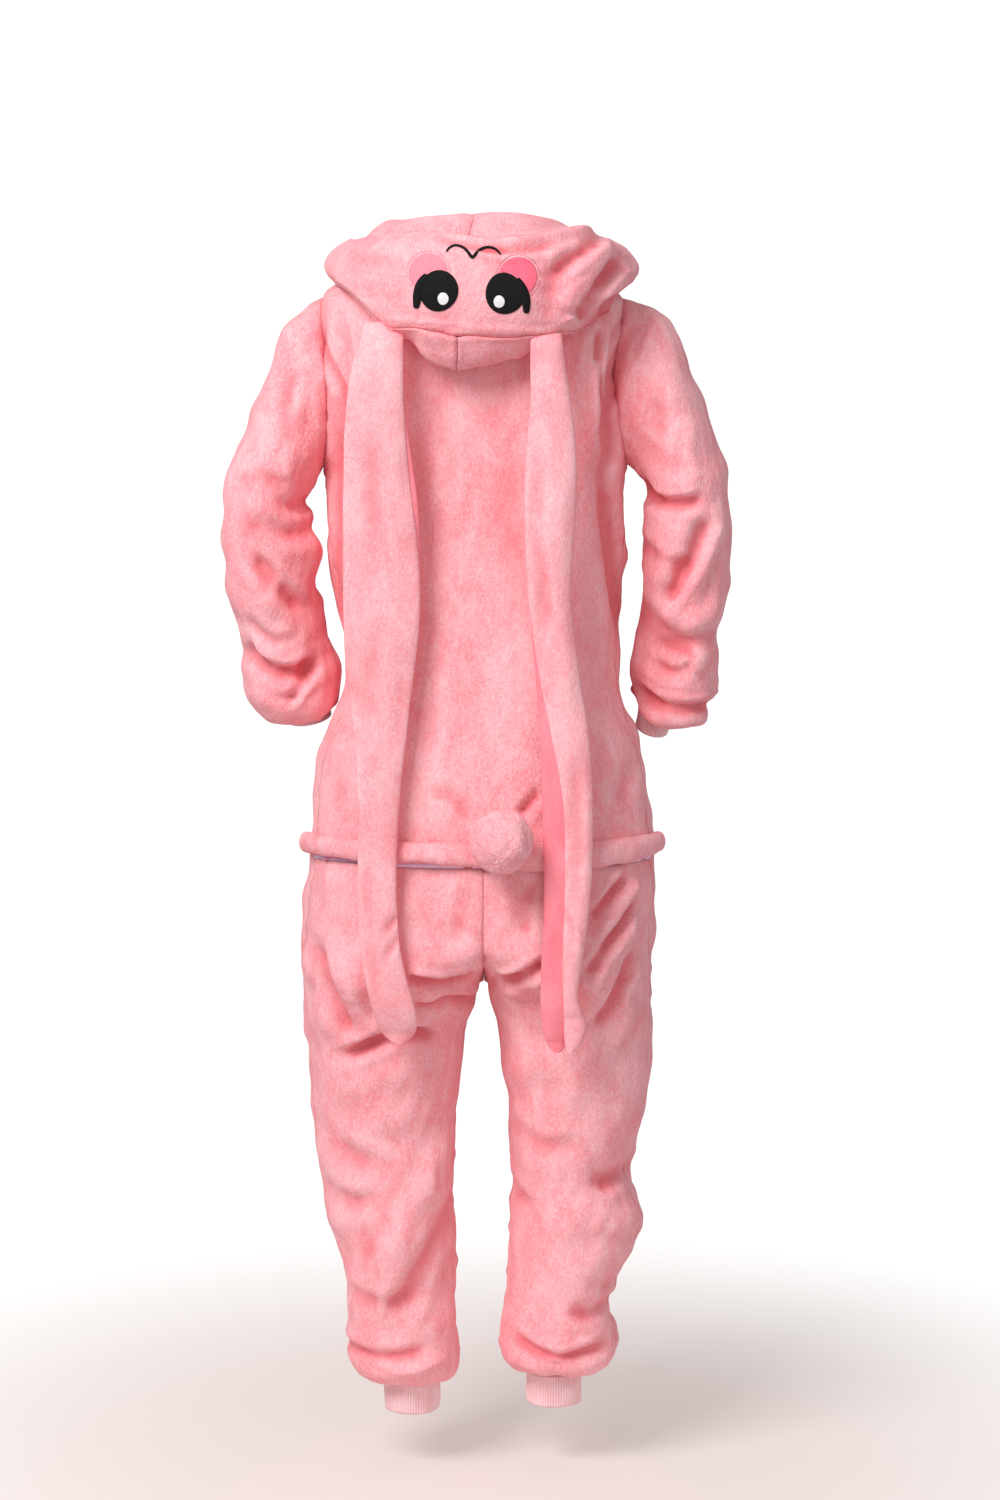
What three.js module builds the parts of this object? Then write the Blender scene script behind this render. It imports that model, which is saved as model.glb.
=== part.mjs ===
// A hooded bunny onesie in thick fleece, as it hangs when it is worn: hood down at the back, two long
// ears hanging from it, a pompom tail, a zipped seat and ribbed cuffs. It is hollow and open at the
// neck, wrists and ankles.
// Units are millimetres. X points to the wearer's right, Y forwards and Z up. Heights in the tables are
// above the floor the wearer stands on, and the origin is between the shoulders, where it is held up.
import * as THREE from "three";

// Driving sizes
const SHOULDER_HEIGHT = 1365; // from the floor to the shoulders that hold the garment up
const FLEECE = 2.6; // wall of the body cloth
const HOOD_CLOTH = 3; // wall of the hood, which is heavier
const LINING = 2; // wall of the ears' inner cloth
const RIB_KNIT = 2.4; // wall of the cuffs
const SEAM_GAP = 0.3; // between two pieces at a seam
const TAPE = 1.2; // wall of the zip tape

const rad = THREE.MathUtils.degToRad;
const mix = THREE.MathUtils.lerp;
const ease = (x, low, high) => THREE.MathUtils.smoothstep(x, low, high);

// A table of sections: the first line names the columns, and each row after it is one section.
function table(names, ...rows) {
  const columns = names.split(" ");
  return rows.map((row) => Object.fromEntries(columns.map((c, i) => [c, row[i]])));
}

// A smooth curve through the values, which never swings past them.
function smooth(values, at) {
  const last = values.length - 1;
  const i = Math.min(Math.max(Math.floor(at), 0), last - 1);
  const step = (k) => values[k + 1] - values[k];
  const slope = (k) => {
    if (k <= 0) return step(0);
    if (k >= last) return step(last - 1);
    const before = step(k - 1);
    const after = step(k);
    return before * after <= 0 ? 0 : (2 * before * after) / (before + after);
  };
  const t = at - i;
  if (t < 0) return values[0] + t * step(0);
  if (t > 1) return values[last] + (t - 1) * step(last - 1);
  const t2 = t * t;
  const t3 = t2 * t;
  return (
    (2 * t3 - 3 * t2 + 1) * values[i] +
    (t3 - 2 * t2 + t) * slope(i) +
    (3 * t2 - 2 * t3) * values[i + 1] +
    (t3 - t2) * slope(i + 1)
  );
}

// The section of a table at any place between its rows.
function sectionAt(rows, at) {
  const made = {};
  for (const column of Object.keys(rows[0])) made[column] = smooth(rows.map((r) => r[column]), at);
  return made;
}

// Where a column of a table reaches a value, as a place between its rows.
function placeOf(rows, column, value) {
  let low = 0;
  let high = rows.length - 1;
  const values = rows.map((r) => r[column]);
  for (let i = 0; i < 40; i++) {
    const middle = (low + high) / 2;
    if (smooth(values, middle) > value) low = middle;
    else high = middle;
  }
  return (low + high) / 2;
}

// Evenly spread numbers from one value to another, both ends included.
const spread = (from, to, count) => Array.from({ length: count }, (_, i) => mix(from, to, i / (count - 1)));

// The outward normal of a surface given by two parameters.
function normalOf(surface, u, v, du, dv) {
  const along = surface(u + du, v).sub(surface(u - du, v));
  const down = surface(u, v + dv).sub(surface(u, v - dv));
  return along.cross(down).normalize();
}

// A closed wall between an outer and an inner grid of points. Rows run along the first index.
function wall(outer, inner, wraps = false) {
  const rows = outer.length;
  const columns = outer[0].length;
  const points = [...outer.flat(), ...inner.flat()];
  const id = (layer, i, j) => layer * rows * columns + i * columns + (j % columns);
  const faces = [];
  const quad = (a, b, c, d) => faces.push(a, b, c, a, c, d);
  const cells = wraps ? columns : columns - 1;
  for (let i = 0; i < rows - 1; i++)
    for (let j = 0; j < cells; j++) {
      quad(id(0, i, j), id(0, i, j + 1), id(0, i + 1, j + 1), id(0, i + 1, j));
      quad(id(1, i, j), id(1, i + 1, j), id(1, i + 1, j + 1), id(1, i, j + 1));
    }
  for (let j = 0; j < cells; j++) {
    quad(id(0, 0, j), id(1, 0, j), id(1, 0, j + 1), id(0, 0, j + 1));
    quad(id(0, rows - 1, j), id(0, rows - 1, j + 1), id(1, rows - 1, j + 1), id(1, rows - 1, j));
  }
  if (!wraps)
    for (let i = 0; i < rows - 1; i++) {
      quad(id(0, i, 0), id(0, i + 1, 0), id(1, i + 1, 0), id(1, i, 0));
      const j = columns - 1;
      quad(id(0, i, j), id(1, i, j), id(1, i + 1, j), id(0, i + 1, j));
    }
  return solid(points, faces);
}

// A geometry from points and triangles, turned so that its faces point out.
function solid(points, faces) {
  let volume = 0;
  for (let i = 0; i < faces.length; i += 3) {
    const [a, b, c] = [points[faces[i]], points[faces[i + 1]], points[faces[i + 2]]];
    volume += a.dot(b.clone().cross(c));
  }
  if (volume < 0)
    for (let i = 0; i < faces.length; i += 3) [faces[i + 1], faces[i + 2]] = [faces[i + 2], faces[i + 1]];
  const geometry = new THREE.BufferGeometry();
  geometry.setAttribute("position", new THREE.Float32BufferAttribute(points.flatMap((p) => p.toArray()), 3));
  geometry.setIndex(faces);
  geometry.computeVertexNormals();
  return geometry;
}

// Folds of the cloth, placed on the garment as it is seen from behind or from the front. Each runs from
// one point to another, is a ridge where its depth is positive and a trough where it is negative.
const BACK = -1;
const FRONT = 1;
const FOLDS = table(
  "faces x0 z0 x1 z1 width depth",
  // Upper back: drapes from the shoulders, and a long hollow between the ears
  [BACK, -165, 1330, -152, 1150, 15, 9],
  [BACK, -172, 1290, -166, 1130, 9, -8],
  [BACK, 128, 1330, 138, 1130, 15, 8],
  [BACK, 150, 1300, 146, 1000, 12, -9],
  [BACK, 0, 1250, 10, 900, 40, -7],
  [BACK, -60, 1000, -50, 800, 34, 5],
  [BACK, 60, 980, 50, 820, 34, 4],
  [BACK, 120, 930, 175, 985, 18, -7],
  [BACK, 36, 790, 66, 822, 12, -8],
  // Seat: the bag of cloth under the zip and the pulls towards the hips
  [BACK, -150, 690, -112, 590, 14, -7],
  [BACK, -178, 680, -150, 560, 12, 6],
  [BACK, 185, 670, 120, 570, 16, 8],
  [BACK, 190, 620, 140, 500, 14, -8],
  [BACK, 40, 690, 30, 610, 14, -6],
  // Legs: the hollow behind the left thigh, and long diagonals down to the cuffs
  [BACK, -180, 480, -90, 510, 16, -8],
  [BACK, -110, 455, -30, 470, 22, 7],
  [BACK, -150, 160, -60, 330, 18, 8],
  [BACK, -120, 140, -40, 250, 13, -8],
  [BACK, 40, 330, 60, 180, 18, -8],
  [BACK, 60, 470, 150, 430, 26, 7],
  [BACK, 90, 165, 150, 175, 10, -8],
  [BACK, 130, 350, 172, 332, 14, -8],
  // Front, hidden in the photograph: the same kinds of drape, plainer
  [FRONT, -150, 1290, -130, 1080, 18, -7],
  [FRONT, 130, 1290, 110, 1080, 18, -7],
  [FRONT, -90, 1000, -60, 780, 30, 6],
  [FRONT, 95, 1000, 70, 780, 30, 6],
  [FRONT, -170, 640, -60, 560, 22, -8],
  [FRONT, 165, 640, 60, 560, 22, -8],
  [FRONT, -150, 420, -60, 360, 20, 7],
  [FRONT, 60, 400, 150, 350, 20, 7],
  [FRONT, -130, 250, -50, 180, 15, -7],
  [FRONT, 60, 250, 140, 180, 15, -7],
  // Sleeves: the crease inside each elbow, and the slack above the wrists
  [BACK, -240, 1112, -196, 1102, 10, -11],
  [BACK, -280, 1075, -215, 1120, 16, 7],
  [BACK, -205, 1010, -245, 1060, 13, -9],
  [BACK, -262, 930, -190, 915, 14, -10],
  [BACK, -225, 885, -175, 915, 11, -9],
  [BACK, 180, 1118, 240, 1100, 12, -9],
  [BACK, 205, 930, 255, 1080, 14, -8],
  [BACK, 176, 945, 215, 915, 11, -10],
  [BACK, 172, 898, 262, 886, 10, -10],
  [FRONT, -255, 1100, -205, 1080, 14, -9],
  [FRONT, -250, 920, -180, 935, 14, -8],
  [FRONT, 195, 1100, 250, 1085, 14, -9],
  [FRONT, 180, 925, 245, 905, 13, -8],
);

// How far the folds push a point out, from where it lies and which way it faces.
function foldDepth(point, facing) {
  let depth = 0;
  for (const f of FOLDS) {
    const seen = ease(facing * f.faces, -0.12, 0.35);
    if (!seen) continue;
    const [dx, dz] = [f.x1 - f.x0, f.z1 - f.z0];
    const t = THREE.MathUtils.clamp(((point.x - f.x0) * dx + (point.z - f.z0) * dz) / (dx * dx + dz * dz), 0, 1);
    const away = Math.hypot(point.x - f.x0 - t * dx, point.z - f.z0 - t * dz) / f.width;
    if (away < 2.4) depth += f.depth * Math.exp(-away * away) * seen;
  }
  return depth;
}

// The body and legs, ring by ring from the neck down. side, back and front are a ring's heights at
// the side seam, centre back and centre front. left and right are its reach from the centre line, and
// inLeft and inRight the inseams' distance from it. turn says how far each half has closed into a leg of
// its own, from 0 degrees, an open half, to 90, a whole tube. seam is how far the side seam lies
// towards the back, in degrees.
const BODY = table(
  "side back front left right inLeft inRight deepBack deepFront square turn seam lean",
  [1392, 1386, 1342, 72, 72, 0, 0, 62, 70, 2.1, 0, 0, -12],
  [1378, 1370, 1322, 108, 106, 0, 0, 84, 86, 2.2, 0, 0, -12],
  [1362, 1350, 1298, 142, 140, 0, 0, 98, 97, 2.4, 0, 0, -12],
  [1339, 1325, 1270, 170, 168, 0, 0, 108, 105, 2.7, 0, 0, -12],
  [1295, 1285, 1232, 178, 176, 0, 0, 113, 112, 3, 0, 0, -12],
  [1245, 1240, 1205, 176, 176, 0, 0, 114, 116, 3, 0, 0, -12],
  [1192, 1190, 1172, 172, 173, 0, 0, 114, 118, 2.9, 0, 0, -11],
  [1144, 1144, 1136, 170, 172, 0, 0, 115, 118, 2.7, 0, 2, -10],
  [1090, 1090, 1088, 169, 168, 0, 0, 116, 118, 2.6, 0, 8, -9],
  [1035, 1035, 1034, 170, 171, 0, 0, 118, 118, 2.5, 0, 12, -8],
  [980, 980, 980, 160, 171, 0, 0, 120, 120, 2.5, 0, 14, -7],
  [930, 930, 930, 146, 160, 0, 0, 124, 122, 2.5, 0, 15, -5],
  [885, 885, 885, 152, 160, 0, 0, 129, 124, 2.5, 0, 15, -3],
  [835, 835, 835, 186, 184, 0, 0, 134, 126, 2.4, 0, 15, -2],
  [785, 785, 785, 194, 189, 0, 0, 139, 128, 2.4, 0, 15, 0],
  [735, 735, 735, 198, 194, 0, 0, 142, 129, 2.4, 0, 15, 0],
  [705, 705, 705, 199, 195, 0, 0, 143, 129, 2.4, 0, 15, 0],
  [670, 670, 670, 206, 196, 0, 0, 145, 128, 2.4, 2, 15, 0],
  [635, 635, 635, 207, 195, 0, 0, 138, 126, 2.4, 7, 14, 0],
  [608, 608, 608, 207, 194, 0.8, 0.8, 133, 123, 2.4, 22, 14, 0],
  [590, 590, 590, 207, 194, 0.8, 0.8, 129, 119, 2.4, 44, 14, 0],
  [577, 577, 578, 207, 193, 0.8, 0.8, 126, 116, 2.3, 66, 14, 0],
  [568, 568, 569, 206, 193, 1.4, 1.4, 123, 113, 2.3, 84, 14, 0],
  [552, 552, 555, 206, 193, 8, 6, 118, 109, 2.2, 90, 14, 0],
  [515, 515, 520, 204, 193, 18, 13, 109, 103, 2.2, 90, 14, 0],
  [465, 465, 470, 201, 191, 26, 20, 100, 97, 2.2, 90, 14, 0],
  [415, 415, 415, 197, 186, 31, 27, 93, 92, 2.2, 90, 14, 0],
  [345, 345, 345, 191, 166, 33, 28, 88, 86, 2.2, 90, 15, 0],
  [292, 292, 292, 180, 182, 31, 27, 86, 80, 2.2, 90, 16, 0],
  [232, 232, 232, 160, 163, 30, 25, 80, 74, 2.2, 90, 16, 0],
  [190, 190, 190, 155, 144, 33, 21, 77, 72, 2.2, 90, 16, 0],
  [152, 152, 152, 157, 157, 27, 15, 78, 74, 2.2, 90, 16, 0],
  [126, 128, 126, 148, 148, 28, 19, 70, 68, 2.2, 90, 16, 0],
  [110, 113, 110, 131, 130, 40, 33, 54, 54, 2.1, 90, 16, 0],
  [119, 121, 119, 117, 114, 49, 46, 40, 40, 2, 90, 16, 0],
);
// The seat's cloth hangs in a bag over the tops of the legs, between the ears: how far it stands out.
const SEAT_BAG = table("z out", [700, 0], [664, 6], [628, 17], [600, 25], [584, 26], [572, 17], [562, 4], [552, 0]);
const BAG_HALF = 88; // the bag is full this far from the middle, then fades out
const BAG_END = 150;
const NECK = 0;
const ARMHOLE_TOP = 3;
const ARMHOLE_BASE = 7;
const ZIP = 15.72; // the closed zip, between the upper back and the seat
const ANKLE = BODY.length - 1;
const ARMHOLE_DEEP = 62; // half the armhole's reach from back to front
const ZIP_HALF = 4.6; // half the zip's width

// The distance from the middle of a rounded outline to its edge at an angle.
function reach(wide, deep, square, angle) {
  const across = Math.abs(Math.cos(angle)) / wide;
  const through = Math.abs(Math.sin(angle)) / deep;
  return (across ** square + through ** square) ** (-1 / square);
}

// A point of the body's outline with no folds. side is -1 on the wearer's left and 1 on the right. The
// angle is 0 at the side, -90 degrees at the back and 90 at the front, in radians.
function outline(side, angle, at) {
  const s = sectionAt(BODY, at);
  const deep = angle < 0 ? s.deepBack : s.deepFront;
  const out = side < 0 ? s.left : s.right;
  const inner = side < 0 ? s.inLeft : s.inRight;
  const turn = rad(s.turn);
  let wide = out - inner;
  for (let i = 0; i < 24; i++) {
    const closed = reach(wide, deep, s.square, Math.PI / 2 + turn) * Math.sin(turn);
    wide += (out - inner - closed - wide) / 2;
  }
  const middle = out - wide;
  const r = reach(wide, deep, s.square, angle);
  const end = angle < 0 ? s.back : s.front;
  const rise = Math.min(1, Math.abs(Math.sin(angle)));
  const point = new THREE.Vector3(
    s.lean + side * (middle + r * Math.cos(angle)),
    r * Math.sin(angle),
    mix(s.side, end, rise * rise),
  );
  point.y -= seatBag(point) * ease(-point.y, 40, 95);
  return point;
}

// How far the seat's bag stands out at a point.
function seatBag(point) {
  const [top, base] = [SEAT_BAG[0].z, SEAT_BAG.at(-1).z];
  if (point.z > top || point.z < base) return 0;
  const at = placeOf(SEAT_BAG, "z", point.z);
  return smooth(SEAT_BAG.map((r) => r.out), at) * (1 - ease(Math.abs(point.x), BAG_HALF, BAG_END));
}

// Moves a surface out along its normal by the depth of the folds there.
function folded(surface, facingOf, du, dv) {
  return (u, v) => {
    const p = surface(u, v);
    const n = normalOf(surface, u, v, du, dv);
    return p.addScaledVector(n, foldDepth(p, facingOf(u, v)));
  };
}

const STEP_ANGLE = 0.012;
const STEP_PLACE = 0.02;
const bodySides = new Map(
  [-1, 1].map((side) => {
    const plain = (around, at) => outline(side, -side * around, at);
    const facing = (around, at) => Math.sin(-side * around) * (1 - ease(at, ANKLE - 3, ANKLE - 1));
    return [side, { plain, folded: folded(plain, facing, STEP_ANGLE, STEP_PLACE) }];
  }),
);

// The body's surface and its outward normal, folds included.
function body(side, angle, at) {
  return bodySides.get(side).folded(-side * angle, at);
}
function bodyNormal(side, angle, at) {
  return normalOf(bodySides.get(side).folded, -side * angle, at, STEP_ANGLE, STEP_PLACE);
}

// The outward normal with no folds.
function plainNormal(side, angle, at) {
  return normalOf(bodySides.get(side).plain, -side * angle, at, STEP_ANGLE, STEP_PLACE);
}

// How far along the armhole a ring lies, from -1 at its top to 1 at its base.
function armholeShare(at) {
  const heights = BODY.map((r) => r.side);
  const [top, base] = [heights[ARMHOLE_TOP], heights[ARMHOLE_BASE]];
  return (2 * (top - smooth(heights, at))) / (top - base) - 1;
}

// The angle from the side at which a panel stops for the armhole, on that ring.
function armholeAngle(side, at, facing) {
  const share = armholeShare(at);
  if (Math.abs(share) >= 1) return 0;
  const y = ARMHOLE_DEEP * Math.sqrt(1 - share * share);
  let low = 0;
  let high = rad(70);
  for (let i = 0; i < 40; i++) {
    const angle = (low + high) / 2;
    if (Math.abs(outline(side, facing * angle, at).y) < y) low = angle;
    else high = angle;
  }
  return low;
}

// The angle of a body panel's outer edge: the shoulder seam, then the armhole, then the side seam.
function edgeAngle(side, at, facing) {
  if (at <= ARMHOLE_TOP) return 0;
  if (at < ARMHOLE_BASE) return facing * armholeAngle(side, at, facing);
  return -rad(smooth(BODY.map((r) => r.seam), at));
}

// How far from the side the columns of a panel draw in on their way past the armhole, as an angle.
function columnsEdge(side, at, facing) {
  const widest = armholeAngle(side, (ARMHOLE_TOP + ARMHOLE_BASE) / 2, facing);
  return facing * widest * 0.9 * ease(at, 1, 4.2) * (1 - ease(at, 5.4, 9.5));
}

// Angles from one to another on a ring, evenly apart along the cloth, with a gap left at both ends. The
// last column keeps to the edge, and the others draw in more gently, towards the angle given as even.
function evenAngles(side, from, to, at, count, gapFrom, gapTo, even = to) {
  const fine = spread(from, to, 60);
  const points = fine.map((a) => outline(side, a, at));
  const lengths = [0];
  for (let i = 1; i < fine.length; i++) lengths.push(lengths[i - 1] + points[i].distanceTo(points[i - 1]));
  const total = lengths.at(-1);
  const share = THREE.MathUtils.clamp((even - from) / (to - from), 0, 1);
  const columns = spread(gapFrom, total * share - gapTo, count);
  columns[count - 1] = total - gapTo;
  return columns.map((want) => {
    let i = lengths.findIndex((l) => l >= want);
    i = Math.max(i, 1);
    return mix(fine[i - 1], fine[i], (want - lengths[i - 1]) / (lengths[i] - lengths[i - 1]));
  });
}

// A panel of the body, from places (side, angle, at) on it.
function bodyPanel(places, thickness = FLEECE, lift = 0) {
  const outer = [];
  const inner = [];
  for (const row of places) {
    outer.push([]);
    inner.push([]);
    for (const { side, angle, at } of row) {
      const p = body(side, angle, at);
      const n = bodyNormal(side, angle, at);
      outer.at(-1).push(p.clone().addScaledVector(n, lift));
      inner.at(-1).push(p.addScaledVector(n, lift - thickness));
    }
  }
  return wall(outer, inner);
}

const HALF_GAP = SEAM_GAP / 2 + 0.05;

// The places of the rings that the panels share, so that their edges follow each other at the seams.
const HEIGHTS = BODY.map((r) => r.side);
const ARMHOLE_STEPS = 8; // half of the sleeve's columns
const zipEdge = (up) => placeOf(BODY, "side", smooth(HEIGHTS, ZIP) + up * (ZIP_HALF + SEAM_GAP));
const armholePlace = (share) => {
  const [top, base] = [HEIGHTS[ARMHOLE_TOP], HEIGHTS[ARMHOLE_BASE]];
  return placeOf(BODY, "side", mix(base, top, (1 + Math.cos(share * Math.PI)) / 2));
};
const UPPER_ROWS = [
  0,
  1,
  2,
  ...spread(0, 1, ARMHOLE_STEPS + 1).map(armholePlace),
  ...[8, 9, 10, 11, 12, 13, 14, 15],
  zipEdge(1),
];
const LOWER_ROWS = [
  zipEdge(-1),
  ...[17, 18, 19, 20, 21, 22, 23, 24, 24.5, 25, 25.5, 26, 26.5, 27, 27.5, 28, 28.5, 29, 29.5, 30, 31],
  ...[31.6, 32, 33, 34],
];

// The places of one row of a panel, from its inner edge to its outer one.
function panelPlaces(side, inner, at, facing, count, innerGap) {
  const edge = edgeAngle(side, at, facing);
  const drawnIn = columnsEdge(side, at, facing);
  const even = at < ARMHOLE_BASE + 2.5 && Math.abs(drawnIn) > Math.abs(edge) ? drawnIn : edge;
  const angles = evenAngles(side, inner, edge, at, count, innerGap, HALF_GAP, even);
  return angles.map((angle) => ({ side, angle, at }));
}

// The upper back, in one piece from shoulder to shoulder and from the neck to the zip.
function backPanel(halfColumns) {
  const places = UPPER_ROWS.map((at) => {
    const half = (side) =>
      panelPlaces(side, rad(-90), at, BACK, halfColumns, 0);
    return [...half(-1).reverse(), ...half(1).slice(1)];
  });
  return bodyPanel(places);
}

// A half of the seat with the back of its leg, from the zip to the ankle.
function seatLeg(side, columns) {
  const places = LOWER_ROWS.map((at) => {
    const inner = -rad(90 + smooth(BODY.map((r) => r.turn), at));
    return panelPlaces(side, inner, at, BACK, columns, HALF_GAP);
  });
  return bodyPanel(places);
}

// A front, in one piece from the shoulder to the ankle.
function frontPanel(side, columns) {
  const places = [...UPPER_ROWS, ...LOWER_ROWS].map((at) => {
    const inner = rad(90 + smooth(BODY.map((r) => r.turn), at));
    return panelPlaces(side, inner, at, FRONT, columns, HALF_GAP);
  });
  return bodyPanel(places);
}

// Each sleeve, ring by ring from the armhole to the wrist. out and in are the ring's far and near points
// as seen from behind, as distances from the garment's middle and heights. y is the ring's middle, deep
// its half size from back to front, and tilt how far its front edge is raised, in degrees.
const SLEEVE_COLUMNS = "outX outZ inX inZ y deep tilt";
const SLEEVES = {
  left: table(
    SLEEVE_COLUMNS,
    [191, 1336, 182, 1142, 0, 62, 0],
    [212, 1318, 185, 1137, 0, 66, 0],
    [229, 1284, 187.5, 1132, -3, 68, 0],
    [242, 1240, 190, 1127, -6, 68, 0],
    [260, 1200, 192.5, 1121, -10, 67, 2],
    [279, 1165, 196, 1115, -14, 65, 4],
    [293, 1132, 200, 1108, -18, 63, 6],
    [297, 1092, 196, 1096, -20, 62, 8],
    [297, 1046, 187, 1074, -20, 62, 12],
    [293, 1002, 187, 1040, -16, 61, 16],
    [283, 958, 192, 1003, -9, 59, 20],
    [274, 932, 184, 968, -1, 60, 22],
    [276, 904, 168, 936, 6, 62, 22],
    [271, 878, 160, 906, 12, 60, 22],
    [256, 863, 167, 880, 24, 50, 20],
    [240, 872, 174, 880, 33, 38, 18],
    [236, 896, 177, 902, 27, 30, 18],
  ),
  right: table(
    SLEEVE_COLUMNS,
    [168, 1336, 161, 1142, 0, 62, 0],
    [197, 1325, 165, 1142, 0, 66, 0],
    [216, 1298, 169, 1141, -3, 68, 0],
    [232, 1256, 172.5, 1138, -6, 68, 0],
    [250, 1212, 176, 1133, -10, 67, 2],
    [266, 1172, 180, 1126, -14, 65, 4],
    [275, 1132, 183, 1116, -18, 63, 6],
    [281, 1088, 178, 1092, -20, 62, 8],
    [281, 1056, 179, 1068, -20, 62, 12],
    [271, 1008, 172, 1026, -16, 61, 16],
    [265, 958, 181, 986, -9, 59, 20],
    [268, 918, 169, 950, -1, 60, 22],
    [266, 893, 163, 918, 6, 62, 22],
    [260, 872, 163, 896, 12, 60, 22],
    [244, 862, 170, 880, 18, 50, 20],
    [226, 868, 176, 880, 30, 37, 18],
    [221, 882, 178, 890, 27, 30, 18],
  ),
};

// A point of the armhole's edge on the body. The angle is 0 at the shoulder and goes down the back.
function armholePoint(side, angle) {
  const at = armholePlace(Math.acos(Math.cos(angle)) / Math.PI);
  const facing = Math.sin(angle) > 0 ? BACK : FRONT;
  return body(side, facing * armholeAngle(side, at, facing), at);
}

// The surface of a sleeve. Its angle is 0 along the top of the arm and goes round by the back.
function sleeveSurface(side) {
  const rows = side < 0 ? SLEEVES.left : SLEEVES.right;
  const LAST = rows.length - 1;
  const ringPoint = (angle, at) => {
    const s = sectionAt(rows, at);
    const tilt = rad(s.tilt);
    const back = -Math.sin(angle) * s.deep;
    return new THREE.Vector3(
      side * mix(s.inX, s.outX, (1 + Math.cos(angle)) / 2),
      s.y + back * Math.cos(tilt),
      mix(s.inZ, s.outZ, (1 + Math.cos(angle)) / 2) + back * Math.sin(tilt),
    );
  };
  const edges = new Map();
  const edgeShift = (angle) => {
    const key = Math.round(angle * 1e5);
    if (!edges.has(key)) {
      const edge = armholePoint(side, angle);
      edge.x += side * SEAM_GAP * 1.5;
      edges.set(key, edge.sub(ringPoint(angle, 0)));
    }
    return edges.get(key);
  };
  const plain = (angle, at) => {
    const p = ringPoint(side * angle, at);
    const share = Math.max(0, 1 - at / 2);
    return share > 0 ? p.addScaledVector(edgeShift(side * angle), share * share) : p;
  };
  const facing = (angle, at) => -Math.sin(side * angle) * ease(at, 0.5, 2) * (1 - ease(at, LAST - 3, LAST - 1));
  return folded(plain, facing, 0.02, STEP_PLACE);
}

// A sleeve, sewn into a tube.
function sleeve(side, columns, rows) {
  const surface = sleeveSurface(side);
  const last = SLEEVES.left.length - 1;
  const outer = [];
  const inner = [];
  for (const at of spread(0, last, rows)) {
    const angles = spread(0, 2 * Math.PI, columns + 1).slice(0, -1);
    const ring = angles.map((a) => surface(a, at));
    const centre = ring.reduce((sum, p) => sum.add(p), new THREE.Vector3()).divideScalar(ring.length);
    outer.push(ring);
    inner.push(
      ring.map((p, i) => {
        if (at === 0) return p.clone().addScaledVector(centre.clone().sub(p).normalize(), FLEECE);
        return p.clone().addScaledVector(normalOf(surface, angles[i], at, 0.02, STEP_PLACE), -FLEECE);
      }),
    );
  }
  return wall(outer, inner, true);
}

// A ribbed cuff: a knit tube with ribs raised on its outside, narrower at its free edge.
function cuff(centre, across, through, axis, length, ribs) {
  const RIB_RISE = 0.9;
  const rings = [
    { along: SEAM_GAP, size: 1 },
    { along: length, size: 0.97 },
  ];
  const columns = ribs * 2;
  const outer = [];
  const inner = [];
  for (const { along, size } of rings) {
    const ring = (inset) =>
      Array.from({ length: columns }, (_, i) => {
        const angle = (i / columns) * 2 * Math.PI;
        const depth = inset + (inset ? 0 : (i % 2) * RIB_RISE);
        const p = centre.clone().addScaledVector(axis, along);
        p.addScaledVector(across, Math.cos(angle) * (size - depth / across.length()));
        return p.addScaledVector(through, Math.sin(angle) * (size - depth / through.length()));
      });
    outer.push(ring(0));
    inner.push(ring(RIB_KNIT));
  }
  return wall(outer, inner, true);
}

const CUFF_CLEAR = 1.1; // how far a cuff stays inside the cloth gathered on to it
const WRIST_CUFF = 42;
const ANKLE_CUFF = 37;
const CUFF_RIBS = 26;

// A cuff at the end of a sleeve.
function wristCuff(side) {
  const s = (side < 0 ? SLEEVES.left : SLEEVES.right).at(-1);
  const tilt = rad(s.tilt);
  const out = new THREE.Vector3(side * s.outX, s.y, s.outZ);
  const inn = new THREE.Vector3(side * s.inX, s.y, s.inZ);
  const centre = out.clone().add(inn).divideScalar(2);
  const across = out.sub(centre);
  const through = new THREE.Vector3(0, -Math.cos(tilt), -Math.sin(tilt)).multiplyScalar(s.deep);
  const axis = across.clone().cross(through).normalize();
  if (axis.z > 0) axis.negate();
  across.setLength(across.length() - CUFF_CLEAR);
  through.setLength(through.length() - CUFF_CLEAR);
  return cuff(centre, across, through, axis, WRIST_CUFF, CUFF_RIBS);
}

// A cuff at the end of a leg.
function ankleCuff(side) {
  const s = BODY[ANKLE];
  const [out, inn] = side < 0 ? [s.left, s.inLeft] : [s.right, s.inRight];
  const centre = new THREE.Vector3((side * (out + inn)) / 2, 0, s.side);
  const across = new THREE.Vector3((out - inn) / 2 - CUFF_CLEAR, 0, 0);
  const through = new THREE.Vector3(0, s.deepBack - CUFF_CLEAR, 0);
  return cuff(centre, across, through, new THREE.Vector3(0, 0, -1), ANKLE_CUFF, CUFF_RIBS);
}

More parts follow.
